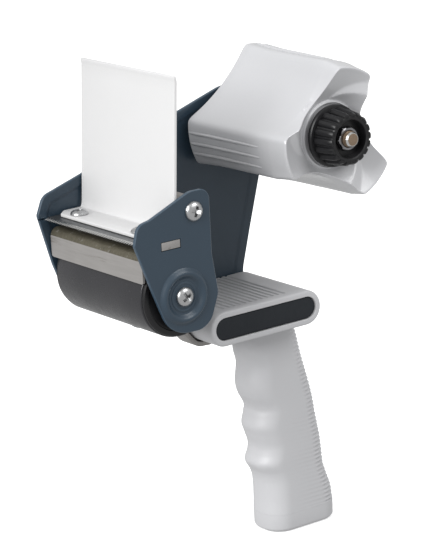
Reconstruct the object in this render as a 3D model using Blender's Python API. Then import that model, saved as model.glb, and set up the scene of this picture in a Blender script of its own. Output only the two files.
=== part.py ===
"""Hand-held packing-tape dispenser: pistol grip, rubber roller, lobed core hub with tension knob.

Metres, +Z up.  The dispenser faces -X (roller and blade), the open loading side is -Y.
Sizes are written from the roller axis; BASE moves that axis so the butt of the grip
stands on Z = 0 with its centre over the origin.
"""
import bpy
import bmesh
import math
from mathutils import Vector

# ---------------------------------------------------------------- driving dimensions
BUTT_CENTRE_X = 0.1015
GRIP_CENTRE_Y = 0.0134
BUTT_DROP = 0.158
BASE = Vector((-BUTT_CENTRE_X, -GRIP_CENTRE_Y, BUTT_DROP))

FIT_GAP = 0.0003
PLATE_INNER_Y = 0.0415
PLATE_THICKNESS = 0.002
PLATE_OUTER_Y = PLATE_INNER_Y + PLATE_THICKNESS
PLATE_RIM_WIDTH = 0.0045
PLATE_STEP = 0.0007

ROLLER_RADIUS = 0.0214
ROLLER_HALF_LENGTH = 0.0390
ROLLER_CORE_RADIUS = 0.0165
ROLLER_END_THICKNESS = 0.0015
AXLE_RADIUS = 0.004
RUN_CLEARANCE = 0.0002

BAR_CENTRE = (-0.0059, 0.0270)
BAR_SIZE = (0.0110, 0.0040)
FOOT_SCREW_X = -0.0122
FOOT_SCREW_Y = 0.0268
FOOT_SCREW_SHANK = 0.0016

BLADE_THICKNESS = 0.0008
BLADE_TIP_X = -0.0245
BLADE_TOOTH_DEPTH = 0.0022
BLADE_TEETH = 40
BLADE_REAR_X = -0.0010
BLADE_HALF_WIDTH = 0.0411

STRIP_HALF_WIDTH = 0.0405
STRIP_THICKNESS = 0.0012
STRIP_BOTTOM_Z = 0.0098
STRIP_KNEE_Z = 0.0200
STRIP_FRONT_X = -0.0215

TONGUE_HALF_WIDTH = 0.0405
TONGUE_THICKNESS = 0.0016
TONGUE_FOOT_FRONT_X = -0.0176
TONGUE_BEND_X = -0.0030
TONGUE_TOP = (0.0050, 0.1047)
TONGUE_LIP = 0.0028
TONGUE_CORNER_CUT = 0.0050

SPACER_CENTRE = (0.0085, 0.0412)
SPACER_RADIUS = 0.0070
PLATE_SCREW_SHANK = 0.0025
PLATE_SCREW_HEAD = 0.0050
PLATE_SCREW_DEPTH = 0.012

HUB_CENTRE = (0.1037, 0.0606)
HUB_FAR_Y = 0.0373
HUB_TIP_Y = -0.0409
HUB_BOSS_Y = -0.0310
HUB_BOSS_RADIUS = 0.0176
HUB_END_SLOPE = 0.5625
HUB_NEAR_RADIUS = 0.0352
HUB_MID_RADIUS = 0.0376
HUB_FAR_RADIUS = 0.0392
HUB_NEAR_WAIST = 0.57
HUB_FAR_WAIST = 0.66
HUB_LOBE_ANGLE = 70.6
HUB_LOBE_HALF_ANGLE = 18.9
HUB_BORE = 0.0043
HUB_POCKET_RADIUS = 0.0095
HUB_POCKET_FLOOR_Y = -0.0080

STUD_RADIUS = 0.0040
STUD_END_Y = -0.0500
STUD_TAIL_Y = 0.0520
STUD_COLLAR_RADIUS = 0.0110
STUD_COLLAR_Y = 0.0387

KNOB_FLANGE_Y = -0.0335
KNOB_FRONT_Y = -0.0487
KNOB_FLANGE_RADIUS = 0.0160
KNOB_FRONT_RADIUS = 0.0133
KNOB_FLUTES = 18
KNOB_FLUTE_DEPTH = 0.0011
KNOB_RECESS_RADIUS = 0.0098
KNOB_RECESS_Y = -0.0437
KNOB_NOSE_RADIUS = 0.0070
KNOB_NOSE_Y = -0.0296

SPRING_COIL_RADIUS = 0.0072
SPRING_WIRE_RADIUS = 0.0008
SPRING_TURNS = 5

HEAD_CENTRE = (0.0702, -0.0323)
HEAD_LENGTH = 0.0706
HEAD_HEIGHT = 0.0184
HEAD_NEAR_Y = -0.0147
HEAD_FAR_Y = PLATE_INNER_Y - FIT_GAP
HEAD_WALL = 0.0032
HEAD_EDGE = 0.0010
HEAD_CAVITY_END_Y = 0.0300
PLUG_RECESS = 0.0008
PLUG_THICKNESS = 0.0060
HANDLE_SCREWS_X = (0.0460, 0.0702, 0.0940)

GRIP_HALF_THICKNESS = 0.0135
GRIP_CORNER = 0.0110
GRIP_WALL = 0.0035
GRIP_CAVITY_TOP_Z = -0.062
# (height, front edge, rear edge) of the grip going down, from the roller axis
GRIP_STATIONS = (
    (-0.0360, 0.0700, 0.1010),
    (-0.0500, 0.0712, 0.1045),
    (-0.0580, 0.0720, 0.1062),
    (-0.0640, 0.0733, 0.1076),
    (-0.0740, 0.0720, 0.1102),
    (-0.0800, 0.0730, 0.1118),
    (-0.0880, 0.0767, 0.1135),
    (-0.0920, 0.0761, 0.1141),
    (-0.0980, 0.0746, 0.1149),
    (-0.1030, 0.0760, 0.1158),
    (-0.1095, 0.0779, 0.1169),
    (-0.1140, 0.0773, 0.1174),
    (-0.1190, 0.0754, 0.1178),
    (-0.1250, 0.0784, 0.1182),
    (-0.1300, 0.0797, 0.1194),
    (-0.1400, 0.0798, 0.1226),
    (-0.1480, 0.0794, 0.1234),
)
BUTT_TOP_Z = -0.1480
BUTT_EDGE = 0.0025
BUTT_SPIGOT = 0.0060
BUTT_SPIGOT_PLAY = 0.0016

STRAP_THICKNESS = 0.0025
STRAP_HALF_WIDTH = 0.0060
STRAP_CENTRE_Y = 0.0090
STRAP_SCREW_X = 0.0480

ROUND = 32


# ---------------------------------------------------------------- helpers
def clear_scene():
    for obj in list(bpy.data.objects):
        bpy.data.objects.remove(obj, do_unlink=True)
    for mesh in list(bpy.data.meshes):
        bpy.data.meshes.remove(mesh)


def material(name, colour, metallic, roughness):
    mat = bpy.data.materials.new(name)
    mat.use_nodes = True
    shader = mat.node_tree.nodes["Principled BSDF"]
    shader.inputs["Base Color"].default_value = (colour[0], colour[1], colour[2], 1.0)
    shader.inputs["Metallic"].default_value = metallic
    shader.inputs["Roughness"].default_value = roughness
    return mat


def make_object(name, bm, look, origin=(0.0, 0.0, 0.0), smooth=False):
    """Turn a bmesh drawn from its own origin into an object standing at BASE + origin."""
    bmesh.ops.remove_doubles(bm, verts=bm.verts, dist=1e-7)
    bmesh.ops.recalc_face_normals(bm, faces=bm.faces)
    mesh = bpy.data.meshes.new(name)
    bm.to_mesh(mesh)
    bm.free()
    obj = bpy.data.objects.new(name, mesh)
    bpy.context.scene.collection.objects.link(obj)
    obj.location = BASE + Vector(origin)
    if look is not None:
        mesh.materials.append(material(name + "_look", *look))
    if smooth:
        mesh.shade_smooth()
        mesh.set_sharp_from_angle(angle=math.radians(35.0))
    return obj


def add_rings(bm, rings, cyclic=False):
    """Skin a list of equal-length closed loops; a cyclic skin closes on itself."""
    loops = [[bm.verts.new(p) for p in ring] for ring in rings]
    count = len(loops[0])
    pairs = list(zip(loops, loops[1:]))
    if cyclic:
        pairs.append((loops[-1], loops[0]))
    for low, high in pairs:
        for i in range(count):
            j = (i + 1) % count
            bm.faces.new((low[i], low[j], high[j], high[i]))
    if not cyclic:
        bm.faces.new(loops[0])
        bm.faces.new(loops[-1])


def circle(radius, y, cx=0.0, cz=0.0, count=ROUND):
    step = 2.0 * math.pi / count
    return [
        (cx + radius * math.cos(step * i), y, cz + radius * math.sin(step * i))
        for i in range(count)
    ]


def add_lathe(bm, profile, cx=0.0, cz=0.0, count=ROUND, closed=False):
    """Revolve (radius, y) points about a line parallel to Y; closed leaves a bore."""
    add_rings(bm, [circle(r, y, cx, cz, count) for r, y in profile], cyclic=closed)


def add_prism(bm, outline, y0, y1):
    """Extrude an (x, z) outline along Y."""
    add_rings(bm, [[(x, y, z) for x, z in outline] for y in (y0, y1)])


def add_box(bm, x0, x1, y0, y1, z0, z1):
    add_prism(bm, ((x0, z0), (x1, z0), (x1, z1), (x0, z1)), y0, y1)


def round_outline(corners, steps=5):
    """Fillet an outline given as (x, z, radius) corners."""
    result = []
    count = len(corners)
    for i, (x, z, radius) in enumerate(corners):
        here = Vector((x, z))
        before = Vector(corners[i - 1][:2]) - here
        after = Vector(corners[(i + 1) % count][:2]) - here
        if radius <= 0.0:
            result.append((x, z))
            continue
        angle = before.angle(after)
        reach = radius / math.tan(angle / 2.0)
        reach = min(reach, 0.49 * before.length, 0.49 * after.length)
        real = reach * math.tan(angle / 2.0)
        before.normalize()
        after.normalize()
        middle = (before + after).normalized()
        centre = here + middle * (real / math.sin(angle / 2.0))
        start = here + before * reach - centre
        end = here + after * reach - centre
        sweep = start.angle_signed(end)
        for k in range(steps + 1):
            turn = -sweep * k / steps
            c = math.cos(turn)
            s = math.sin(turn)
            result.append((centre.x + start.x * c - start.y * s, centre.y + start.x * s + start.y * c))
    return result


def inset_outline(points, distance):
    """Move an anticlockwise outline inwards along its corner bisectors."""
    result = []
    count = len(points)
    for i in range(count):
        a = Vector(points[i - 1])
        b = Vector(points[i])
        c = Vector(points[(i + 1) % count])
        d1 = (b - a).normalized()
        d2 = (c - b).normalized()
        normal = Vector((-d1.y - d2.y, d1.x + d2.x)).normalized()
        share = max(0.3, normal.dot(Vector((-d1.y, d1.x))))
        moved = b + normal * (distance / share)
        result.append((moved.x, moved.y))
    return result


def anticlockwise(points):
    area = sum(
        points[i - 1][0] * points[i][1] - points[i][0] * points[i - 1][1]
        for i in range(len(points))
    )
    return list(points) if area > 0.0 else list(reversed(points))


def stadium(cx, cz, length, height, steps=10):
    r = height / 2.0
    a = length / 2.0 - r
    points = []
    for k in range(steps + 1):
        t = -math.pi / 2.0 + math.pi * k / steps
        points.append((cx + a + r * math.cos(t), cz + r * math.sin(t)))
    for k in range(steps + 1):
        t = math.pi / 2.0 + math.pi * k / steps
        points.append((cx - a + r * math.cos(t), cz + r * math.sin(t)))
    return points


def boolean(obj, cutter, operation):
    mod = obj.modifiers.new(operation.lower() + "_" + cutter.name, "BOOLEAN")
    mod.operation = operation
    mod.solver = "EXACT"
    mod.object = cutter
    cutter.hide_render = True
    cutter.display_type = "WIRE"


def subtract(obj, bm):
    cutter = make_object(obj.name + "_cutter_%d" % len(obj.modifiers), bm, None)
    boolean(obj, cutter, "DIFFERENCE")


# ---------------------------------------------------------------- looks
PAINT = ((0.045, 0.075, 0.105), 0.0, 0.42)
ZINC = ((0.42, 0.40, 0.37), 0.9, 0.38)
BRIGHT = ((0.72, 0.72, 0.72), 1.0, 0.22)
STEEL = ((0.45, 0.46, 0.47), 1.0, 0.30)
RUBBER = ((0.055, 0.055, 0.060), 0.0, 0.55)
BLACK = ((0.012, 0.012, 0.013), 0.0, 0.35)
DARK_PLASTIC = ((0.022, 0.028, 0.033), 0.0, 0.55)
LIGHT_PLASTIC = ((0.50, 0.50, 0.52), 0.0, 0.38)
GLOSS_PLASTIC = ((0.60, 0.60, 0.61), 0.0, 0.22)
TONGUE_PLASTIC = ((0.80, 0.80, 0.80), 0.0, 0.35)
BRONZE = ((0.25, 0.19, 0.14), 0.9, 0.35)


# ---------------------------------------------------------------- side plates
NEAR_CORNERS = (
    (-0.0270, 0.0303, 0.003),
    (-0.0180, 0.0050, 0.010),
    (-0.0090, -0.0182, 0.016),
    (0.0142, -0.0190, 0.011),
    (0.0206, -0.0020, 0.008),
    (0.0180, 0.0180, 0.020),
    (0.0185, 0.0512, 0.008),
    (0.0068, 0.0512, 0.009),
    (-0.0170, 0.0415, 0.008),
    (-0.0245, 0.0400, 0.006),
)
FAR_CORNERS = (
    (-0.0275, 0.0315, 0.003),
    (-0.0205, 0.0050, 0.010),
    (-0.0120, -0.0180, 0.014),
    (0.0080, -0.0230, 0.020),
    (0.0280, -0.0400, 0.010),
    (0.1000, -0.0400, 0.008),
    (0.0975, -0.0230, 0.020),
    (0.1040, 0.0000, 0.020),
    (0.1120, 0.0270, 0.020),
    (0.1225, 0.0600, 0.016),
    (0.1160, 0.0790, 0.016),
    (0.0900, 0.0790, 0.020),
    (0.0617, 0.0700, 0.020),
    (-0.0005, 0.0480, 0.020),
    (-0.0235, 0.0410, 0.007),
)


def plate_holes(bm, y0, y1, slit):
    """Holes shared by both plates: axle screw, spacer screw, cross-bar slot."""
    hole = PLATE_SCREW_SHANK + FIT_GAP
    add_lathe(bm, ((hole, y0), (hole, y1)))
    add_lathe(bm, ((hole, y0), (hole, y1)), SPACER_CENTRE[0], SPACER_CENTRE[1])
    half_x = BAR_SIZE[0] / 2.0 + FIT_GAP
    half_z = BAR_SIZE[1] / 2.0 + FIT_GAP
    x, z = BAR_CENTRE
    add_box(bm, x - half_x, x + half_x, y0, y1, z - half_z, z + half_z)
    if slit:
        add_box(bm, -0.0400, -0.0215, y0, y1, 0.0288, 0.0302)


def pressed_plate(name, corners, inner_y, outer_y):
    """Sheet plate whose middle is pressed a little towards the outside."""
    side = 1.0 if outer_y > inner_y else -1.0
    outline = anticlockwise(round_outline(corners))
    edge = 0.0004
    rim = inset_outline(outline, PLATE_RIM_WIDTH)
    panel = inset_outline(outline, PLATE_RIM_WIDTH + 0.0012)
    lip = inset_outline(outline, edge)
    bm = bmesh.new()
    step = PLATE_STEP * side
    rings = (
        (panel, inner_y + step),
        (rim, inner_y),
        (lip, inner_y),
        (outline, inner_y + edge * side),
        (outline, outer_y - edge * side),
        (lip, outer_y),
        (rim, outer_y),
        (panel, outer_y + step),
    )
    add_rings(bm, [[(x, y, z) for x, z in ring] for ring, y in rings])
    return make_object(name, bm, PAINT)


def build_plates():
    far = pressed_plate("far_side_plate", FAR_CORNERS, PLATE_INNER_Y, PLATE_OUTER_Y)
    cut = bmesh.new()
    y0 = PLATE_INNER_Y - 0.003
    y1 = PLATE_OUTER_Y + 0.003
    plate_holes(cut, y0, y1, True)
    stud_hole = STUD_RADIUS + FIT_GAP
    add_lathe(cut, ((stud_hole, y0), (stud_hole, y1)), HUB_CENTRE[0], HUB_CENTRE[1])
    for x in HANDLE_SCREWS_X:
        hole = PLATE_SCREW_SHANK + FIT_GAP
        add_lathe(cut, ((hole, y0), (hole, y1)), x, HEAD_CENTRE[1])
    subtract(far, cut)

    outline = anticlockwise(round_outline(NEAR_CORNERS))
    lip = inset_outline(outline, 0.0004)
    bm = bmesh.new()
    rings = (
        (lip, -PLATE_INNER_Y),
        (outline, -PLATE_INNER_Y - 0.0004),
        (outline, -PLATE_OUTER_Y + 0.0004),
        (lip, -PLATE_OUTER_Y),
    )
    add_rings(bm, [[(x, y, z) for x, z in ring] for ring, y in rings])
    near = make_object("near_side_plate", bm, PAINT)
    ring = bmesh.new()
    top = -PLATE_OUTER_Y - 0.0009
    sunk = -PLATE_OUTER_Y + 0.0006
    add_lathe(ring, ((0.0085, sunk), (0.0152, sunk), (0.0138, top), (0.0100, top)), closed=True)
    rib = make_object("near_side_plate_rib", ring, None)
    boolean(near, rib, "UNION")
    cut = bmesh.new()
    plate_holes(cut, -PLATE_OUTER_Y - 0.003, -PLATE_INNER_Y + 0.003, False)
    subtract(near, cut)


# ---------------------------------------------------------------- cross bar, blade, strip, tongue
def build_front():
    x, z = BAR_CENTRE
    half_x = BAR_SIZE[0] / 2.0
    half_z = BAR_SIZE[1] / 2.0
    bm = bmesh.new()
    add_box(bm, x - half_x, x + half_x, -PLATE_OUTER_Y, PLATE_OUTER_Y, z - half_z, z + half_z)
    bar = make_object("cross_bar", bm, ZINC)
    bar_top = z + half_z
    blade_z = bar_top + FIT_GAP
    foot_z = blade_z + BLADE_THICKNESS + FIT_GAP
    strip_top = z - half_z - FIT_GAP
    hole = FOOT_SCREW_SHANK + FIT_GAP

    def screw_holes(z0, z1):
        cut = bmesh.new()
        for y in (-FOOT_SCREW_Y, FOOT_SCREW_Y):
            low = [
                (FOOT_SCREW_X + hole * math.cos(t), y + hole * math.sin(t))
                for t in [2.0 * math.pi * k / 20 for k in range(20)]
            ]
            add_rings(cut, [[(px, py, h) for px, py in low] for h in (z0, z1)])
        return cut

    subtract(bar, screw_holes(z - half_z - 0.002, z + half_z + 0.002))

    pitch = 2.0 * BLADE_HALF_WIDTH / BLADE_TEETH
    front = []
    for i in range(BLADE_TEETH):
        y = -BLADE_HALF_WIDTH + pitch * i
        front.append((BLADE_TIP_X + BLADE_TOOTH_DEPTH, y))
        front.append((BLADE_TIP_X, y + pitch / 2.0))
    front.append((BLADE_TIP_X + BLADE_TOOTH_DEPTH, BLADE_HALF_WIDTH))
    outline = front + [(BLADE_REAR_X, BLADE_HALF_WIDTH), (BLADE_REAR_X, -BLADE_HALF_WIDTH)]
    bm = bmesh.new()
    add_rings(bm, [[(px, py, h) for px, py in outline] for h in (blade_z, blade_z + BLADE_THICKNESS)])
    blade = make_object("cutter_blade", bm, STEEL)
    subtract(blade, screw_holes(blade_z - 0.002, blade_z + 0.003))

    front_x = STRIP_FRONT_X
    t = STRIP_THICKNESS
    top = strip_top
    profile = (
        (front_x, STRIP_BOTTOM_Z),
        (front_x + t, STRIP_BOTTOM_Z),
        (front_x + t, STRIP_KNEE_Z),
        (front_x + t + 0.0020, top - t - 0.0006),
        (front_x + t + 0.0040, top - t),
        (-0.0010, top - t),
        (-0.0010, top),
        (front_x + 0.0042, top),
        (front_x + 0.0016, top - 0.0008),
        (front_x, STRIP_KNEE_Z + 0.0004),
    )
    bm = bmesh.new()
    add_prism(bm, profile, -STRIP_HALF_WIDTH, STRIP_HALF_WIDTH)
    strip = make_object("tape_guide_strip", bm, ZINC)
    subtract(strip, screw_holes(top - t - 0.002, top + 0.002))

    w = TONGUE_HALF_WIDTH
    c = TONGUE_CORNER_CUT
    foot_front = TONGUE_FOOT_FRONT_X
    nose = TONGUE_THICKNESS / 2.0
    foot_rear = TONGUE_BEND_X - nose - FIT_GAP
    outline = (
        (foot_front + c, -w),
        (foot_rear, -w),
        (foot_rear, w),
        (foot_front + c, w),
        (foot_front, w - c),
        (foot_front, -w + c),
    )
    bm = bmesh.new()
    add_rings(bm, [[(px, py, h) for px, py in outline] for h in (foot_z, foot_z + TONGUE_THICKNESS)])
    foot = make_object("tongue_foot", bm, TONGUE_PLASTIC)
    subtract(foot, screw_holes(foot_z - 0.002, foot_z + 0.004))

    start = Vector((TONGUE_BEND_X, foot_z + nose))
    end = Vector(TONGUE_TOP)
    path = [start]
    bend = Vector((start.x + 0.0019, start.y))
    rise = Vector((start.x + 0.0023, start.y + 0.0052))
    for k in range(1, 7):
        s = k / 6.0
        path.append(start * (1.0 - s) ** 2 + bend * (2.0 * s * (1.0 - s)) + rise * s ** 2)
    path.append(end)
    path.append(end + Vector((-0.0012, TONGUE_LIP)))
    left = []
    right = []
    for i, p in enumerate(path):
        a = path[max(i - 1, 0)]
        b = path[min(i + 1, len(path) - 1)]
        d = (b - a).normalized()
        n = Vector((-d.y, d.x)) * (TONGUE_THICKNESS / 2.0)
        left.append(p + n)
        right.append(p - n)
    section = [(q.x - start.x, q.y - start.y) for q in left + right[::-1]]
    for k in range(1, 8):
        turn = -math.pi / 2.0 - math.pi * k / 8
        section.append((nose * math.cos(turn), nose * math.sin(turn)))
    bm = bmesh.new()
    add_prism(bm, section, -w, w)
    make_object("tongue_flap", bm, TONGUE_PLASTIC, origin=(start.x, 0.0, start.y))

    for name, y in (("tongue_screw_near", -FOOT_SCREW_Y), ("tongue_screw_far", FOOT_SCREW_Y)):
        bm = bmesh.new()
        seat = foot_z + TONGUE_THICKNESS + FIT_GAP / 2.0
        profile = (
            (FOOT_SCREW_SHANK, strip_top - 0.0030),
            (FOOT_SCREW_SHANK, seat),
            (0.0045, seat),
            (0.0045, seat + 0.0008),
            (0.0038, seat + 0.0018),
            (0.0022, seat + 0.0024),
        )
        rings = []
        for r, h in profile:
            step = 2.0 * math.pi / 24
            rings.append([(r * math.cos(step * i), r * math.sin(step * i), h) for i in range(24)])
        add_rings(bm, rings)
        make_object(name, bm, BRIGHT, origin=(FOOT_SCREW_X, y, 0.0), smooth=True)


# ---------------------------------------------------------------- plate screws and spacer
def pan_screw(name, cx, cz, seat_y, direction, shank, head, depth):
    """Pan-head screw along Y; direction +1 drives it towards +Y."""
    d = direction
    profile = (
        (shank - 0.0004, seat_y + d * depth),
        (shank, seat_y + d * (depth - 0.0006)),
        (shank, seat_y - d * FIT_GAP / 2.0),
        (head, seat_y - d * FIT_GAP / 2.0),
        (head, seat_y - d * 0.0010),
        (head * 0.86, seat_y - d * 0.0021),
        (head * 0.50, seat_y - d * 0.0028),
    )
    bm = bmesh.new()
    add_lathe(bm, profile, count=24)
    return make_object(name, bm, BRIGHT, origin=(cx, 0.0, cz), smooth=True)


def build_fasteners():
    reach = PLATE_SCREW_DEPTH
    hole_depth = PLATE_THICKNESS + reach
    for tag, side in (("near", -1.0), ("far", 1.0)):
        seat = side * PLATE_OUTER_Y
        if side > 0.0:
            seat_axle = seat + PLATE_STEP
        else:
            seat_axle = seat
        args = (seat_axle, -side, PLATE_SCREW_SHANK, PLATE_SCREW_HEAD, hole_depth)
        pan_screw("axle_screw_" + tag, 0.0, 0.0, *args)
        pan_screw("spacer_screw_" + tag, SPACER_CENTRE[0], SPACER_CENTRE[1], *args)
    end_y = PLATE_INNER_Y - FIT_GAP
    hole = PLATE_SCREW_SHANK + FIT_GAP
    for name, centre, radius, look in (
        ("roller_axle", (0.0, 0.0), AXLE_RADIUS, STEEL),
        ("upper_spacer", SPACER_CENTRE, SPACER_RADIUS, ZINC),
    ):
        bm = bmesh.new()
        chamfer = 0.0004
        profile = (
            (radius - chamfer, -end_y),
            (radius, -end_y + chamfer),
            (radius, end_y - chamfer),
            (radius - chamfer, end_y),
        )
        add_lathe(bm, profile)
        rod = make_object(name, bm, look, origin=(centre[0], 0.0, centre[1]), smooth=True)
        cut = bmesh.new()
        depth = hole_depth + 0.002
        for side in (-1.0, 1.0):
            ends = ((hole, side * (end_y + 0.002)), (hole, side * (end_y - depth)))
            add_lathe(cut, ends, centre[0], centre[1], count=24)
        subtract(rod, cut)
    for k, x in enumerate(HANDLE_SCREWS_X):
        pan_screw("handle_screw_%d" % (k + 1), x, HEAD_CENTRE[1], PLATE_OUTER_Y + PLATE_STEP,
                  -1.0, PLATE_SCREW_SHANK, PLATE_SCREW_HEAD, 0.011)


# ---------------------------------------------------------------- roller
def build_roller():
    half = ROLLER_HALF_LENGTH
    inner = half - ROLLER_END_THICKNESS - FIT_GAP
    bore = AXLE_RADIUS + RUN_CLEARANCE
    bm = bmesh.new()
    web = 0.008
    core = ROLLER_CORE_RADIUS
    profile = (
        (bore, -inner),
        (0.0075, -inner),
        (0.0075, -web),
        (core - 0.003, -web),
        (core - 0.003, -inner),
        (core, -inner),
        (core, inner),
        (core - 0.003, inner),
        (core - 0.003, web),
        (0.0075, web),
        (0.0075, inner),
        (bore, inner),
    )
    add_lathe(bm, profile, closed=True)
    make_object("roller_core", bm, BLACK, smooth=True)

    bm = bmesh.new()
    r0 = ROLLER_CORE_RADIUS + FIT_GAP
    r1 = ROLLER_RADIUS
    e = 0.0008
    profile = ((r0, -inner), (r1 - e, -inner), (r1, -inner + e), (r1, inner - e), (r1 - e, inner), (r0, inner))
    add_lathe(bm, profile, count=48, closed=True)
    make_object("roller_sleeve", bm, RUBBER, smooth=True)

    for tag, side in (("near", -1.0), ("far", 1.0)):
        bm = bmesh.new()
        rim = ROLLER_RADIUS - 0.0006
        y0 = side * (half - ROLLER_END_THICKNESS)
        y1 = side * half
        profile = ((bore, y0), (rim, y0), (rim, y1 - side * 0.0005), (rim - 0.0005, y1), (bore, y1))
        add_lathe(bm, profile, count=48, closed=True)
        make_object("roller_end_" + tag, bm, BLACK, smooth=True)
        bm = bmesh.new()
        w0 = side * (half + FIT_GAP)
        w1 = side * (PLATE_INNER_Y - FIT_GAP)
        profile = ((bore, w0), (0.0070, w0), (0.0070, w1), (bore, w1))
        add_lathe(bm, profile, closed=True)
        make_object("roller_washer_" + tag, bm, BRIGHT, smooth=True)


# ---------------------------------------------------------------- hub, stud and tension knob
def hub_factor(theta, waist):
    """Radius at an angle from a lobe centre, as a share of the lobe radius."""
    half = math.radians(HUB_LOBE_HALF_ANGLE)
    third = math.pi / 3.0
    t = abs((theta + third) % (2.0 * third) - third)
    if t <= half:
        return 1.0
    edge_x = math.cos(third - half)
    edge_y = math.sin(third - half)
    sag = edge_x - waist
    radius = (edge_y ** 2 + sag ** 2) / (2.0 * sag)
    centre = waist + radius
    reach = centre * math.cos(third - t)
    return reach - math.sqrt(reach * reach - centre * centre + radius * radius)


def hub_angles():
    half = HUB_LOBE_HALF_ANGLE
    angles = []
    for lobe in range(3):
        start = HUB_LOBE_ANGLE + 120.0 * lobe
        for k in range(9):
            angles.append(start - half + 2.0 * half * k / 8)
        gap = 120.0 - 2.0 * half
        for k in range(1, 14):
            angles.append(start + half + gap * k / 14)
    return [math.radians(a) for a in angles]


def build_hub():
    angles = hub_angles()
    lobe = math.radians(HUB_LOBE_ANGLE)

    def outer(radius, y_of, waist):
        ring = []
        for a in angles:
            r = radius * hub_factor(a - lobe, waist)
            ring.append((r * math.cos(a), y_of(r), r * math.sin(a)))
        return ring

    def round_ring(radius, y):
        return [(radius * math.cos(a), y, radius * math.sin(a)) for a in angles]

    def end_y(r):
        return HUB_BOSS_Y - max(0.0, r - HUB_BOSS_RADIUS) * HUB_END_SLOPE

    middle = (HUB_FAR_WAIST + HUB_NEAR_WAIST) / 2.0
    rings = [
        outer(HUB_FAR_RADIUS, lambda r: HUB_FAR_Y, HUB_FAR_WAIST),
        outer(HUB_MID_RADIUS + 0.0003, lambda r: 0.0220, middle),
        outer(HUB_MID_RADIUS, lambda r: -0.0200, HUB_NEAR_WAIST),
        outer(HUB_MID_RADIUS - 0.0002, lambda r: -0.0295, HUB_NEAR_WAIST),
        outer(HUB_NEAR_RADIUS + 0.0003, lambda r: end_y(r) + 0.0006, HUB_NEAR_WAIST),
        outer(HUB_NEAR_RADIUS - 0.0003, end_y, HUB_NEAR_WAIST),
    ]
    edge = []
    for a in angles:
        r = min(HUB_BOSS_RADIUS, (HUB_NEAR_RADIUS - 0.0012) * hub_factor(a - lobe, HUB_NEAR_WAIST))
        edge.append((r * math.cos(a), HUB_BOSS_Y, r * math.sin(a)))
    rings.append(edge)
    rings.append(round_ring(HUB_POCKET_RADIUS, HUB_BOSS_Y))
    rings.append(round_ring(HUB_POCKET_RADIUS, HUB_POCKET_FLOOR_Y))
    rings.append(round_ring(HUB_BORE, HUB_POCKET_FLOOR_Y))
    rings.append(round_ring(HUB_BORE, HUB_FAR_Y))
    bm = bmesh.new()
    add_rings(bm, rings, cyclic=True)
    centre = (HUB_CENTRE[0], 0.0, HUB_CENTRE[1])
    make_object("hub_body", bm, GLOSS_PLASTIC, origin=centre, smooth=True)

    bm = bmesh.new()
    r = STUD_RADIUS
    profile = (
        (r - 0.0006, STUD_END_Y),
        (r, STUD_END_Y + 0.0006),
        (r, STUD_COLLAR_Y),
        (STUD_COLLAR_RADIUS, STUD_COLLAR_Y),
        (STUD_COLLAR_RADIUS, PLATE_INNER_Y - FIT_GAP),
        (r, PLATE_INNER_Y - FIT_GAP),
        (r, STUD_TAIL_Y - 0.0006),
        (r - 0.0006, STUD_TAIL_Y),
    )
    add_lathe(bm, profile)
    make_object("hub_stud", bm, BRONZE, origin=centre, smooth=True)

    washer_y = PLATE_OUTER_Y + PLATE_STEP + FIT_GAP
    for name, y0, y1, radius, count, look in (
        ("stud_washer", washer_y, washer_y + 0.0012, 0.0080, ROUND, BRIGHT),
        ("stud_nut", washer_y + 0.0015, washer_y + 0.0063, 0.0075, 6, BRIGHT),
        ("friction_washer", HUB_FAR_Y + FIT_GAP, STUD_COLLAR_Y - FIT_GAP, 0.0105, ROUND, BLACK),
    ):
        bm = bmesh.new()
        hole = STUD_RADIUS + RUN_CLEARANCE
        if count == 6:
            rings = []
            for y in (y0, y1):
                rings.append([])
                for i in range(24):
                    t = 2.0 * math.pi * i / 24
                    flat = radius * math.cos(math.pi / 6.0)
                    fold = (t + math.pi / 6.0) % (math.pi / 3.0) - math.pi / 6.0
                    rr = flat / math.cos(fold)
                    rings[-1].append((rr * math.sin(t), y, rr * math.cos(t)))
            inner = []
            for y in (y1, y0):
                inner.append([
                    (hole * math.sin(2.0 * math.pi * i / 24), y, hole * math.cos(2.0 * math.pi * i / 24))
                    for i in range(24)
                ])
            add_rings(bm, rings + inner, cyclic=True)
        else:
            add_lathe(bm, ((hole, y0), (radius, y0), (radius, y1), (hole, y1)), closed=True)
        make_object(name, bm, look, origin=centre, smooth=count != 6)

    build_tension(centre)


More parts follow.
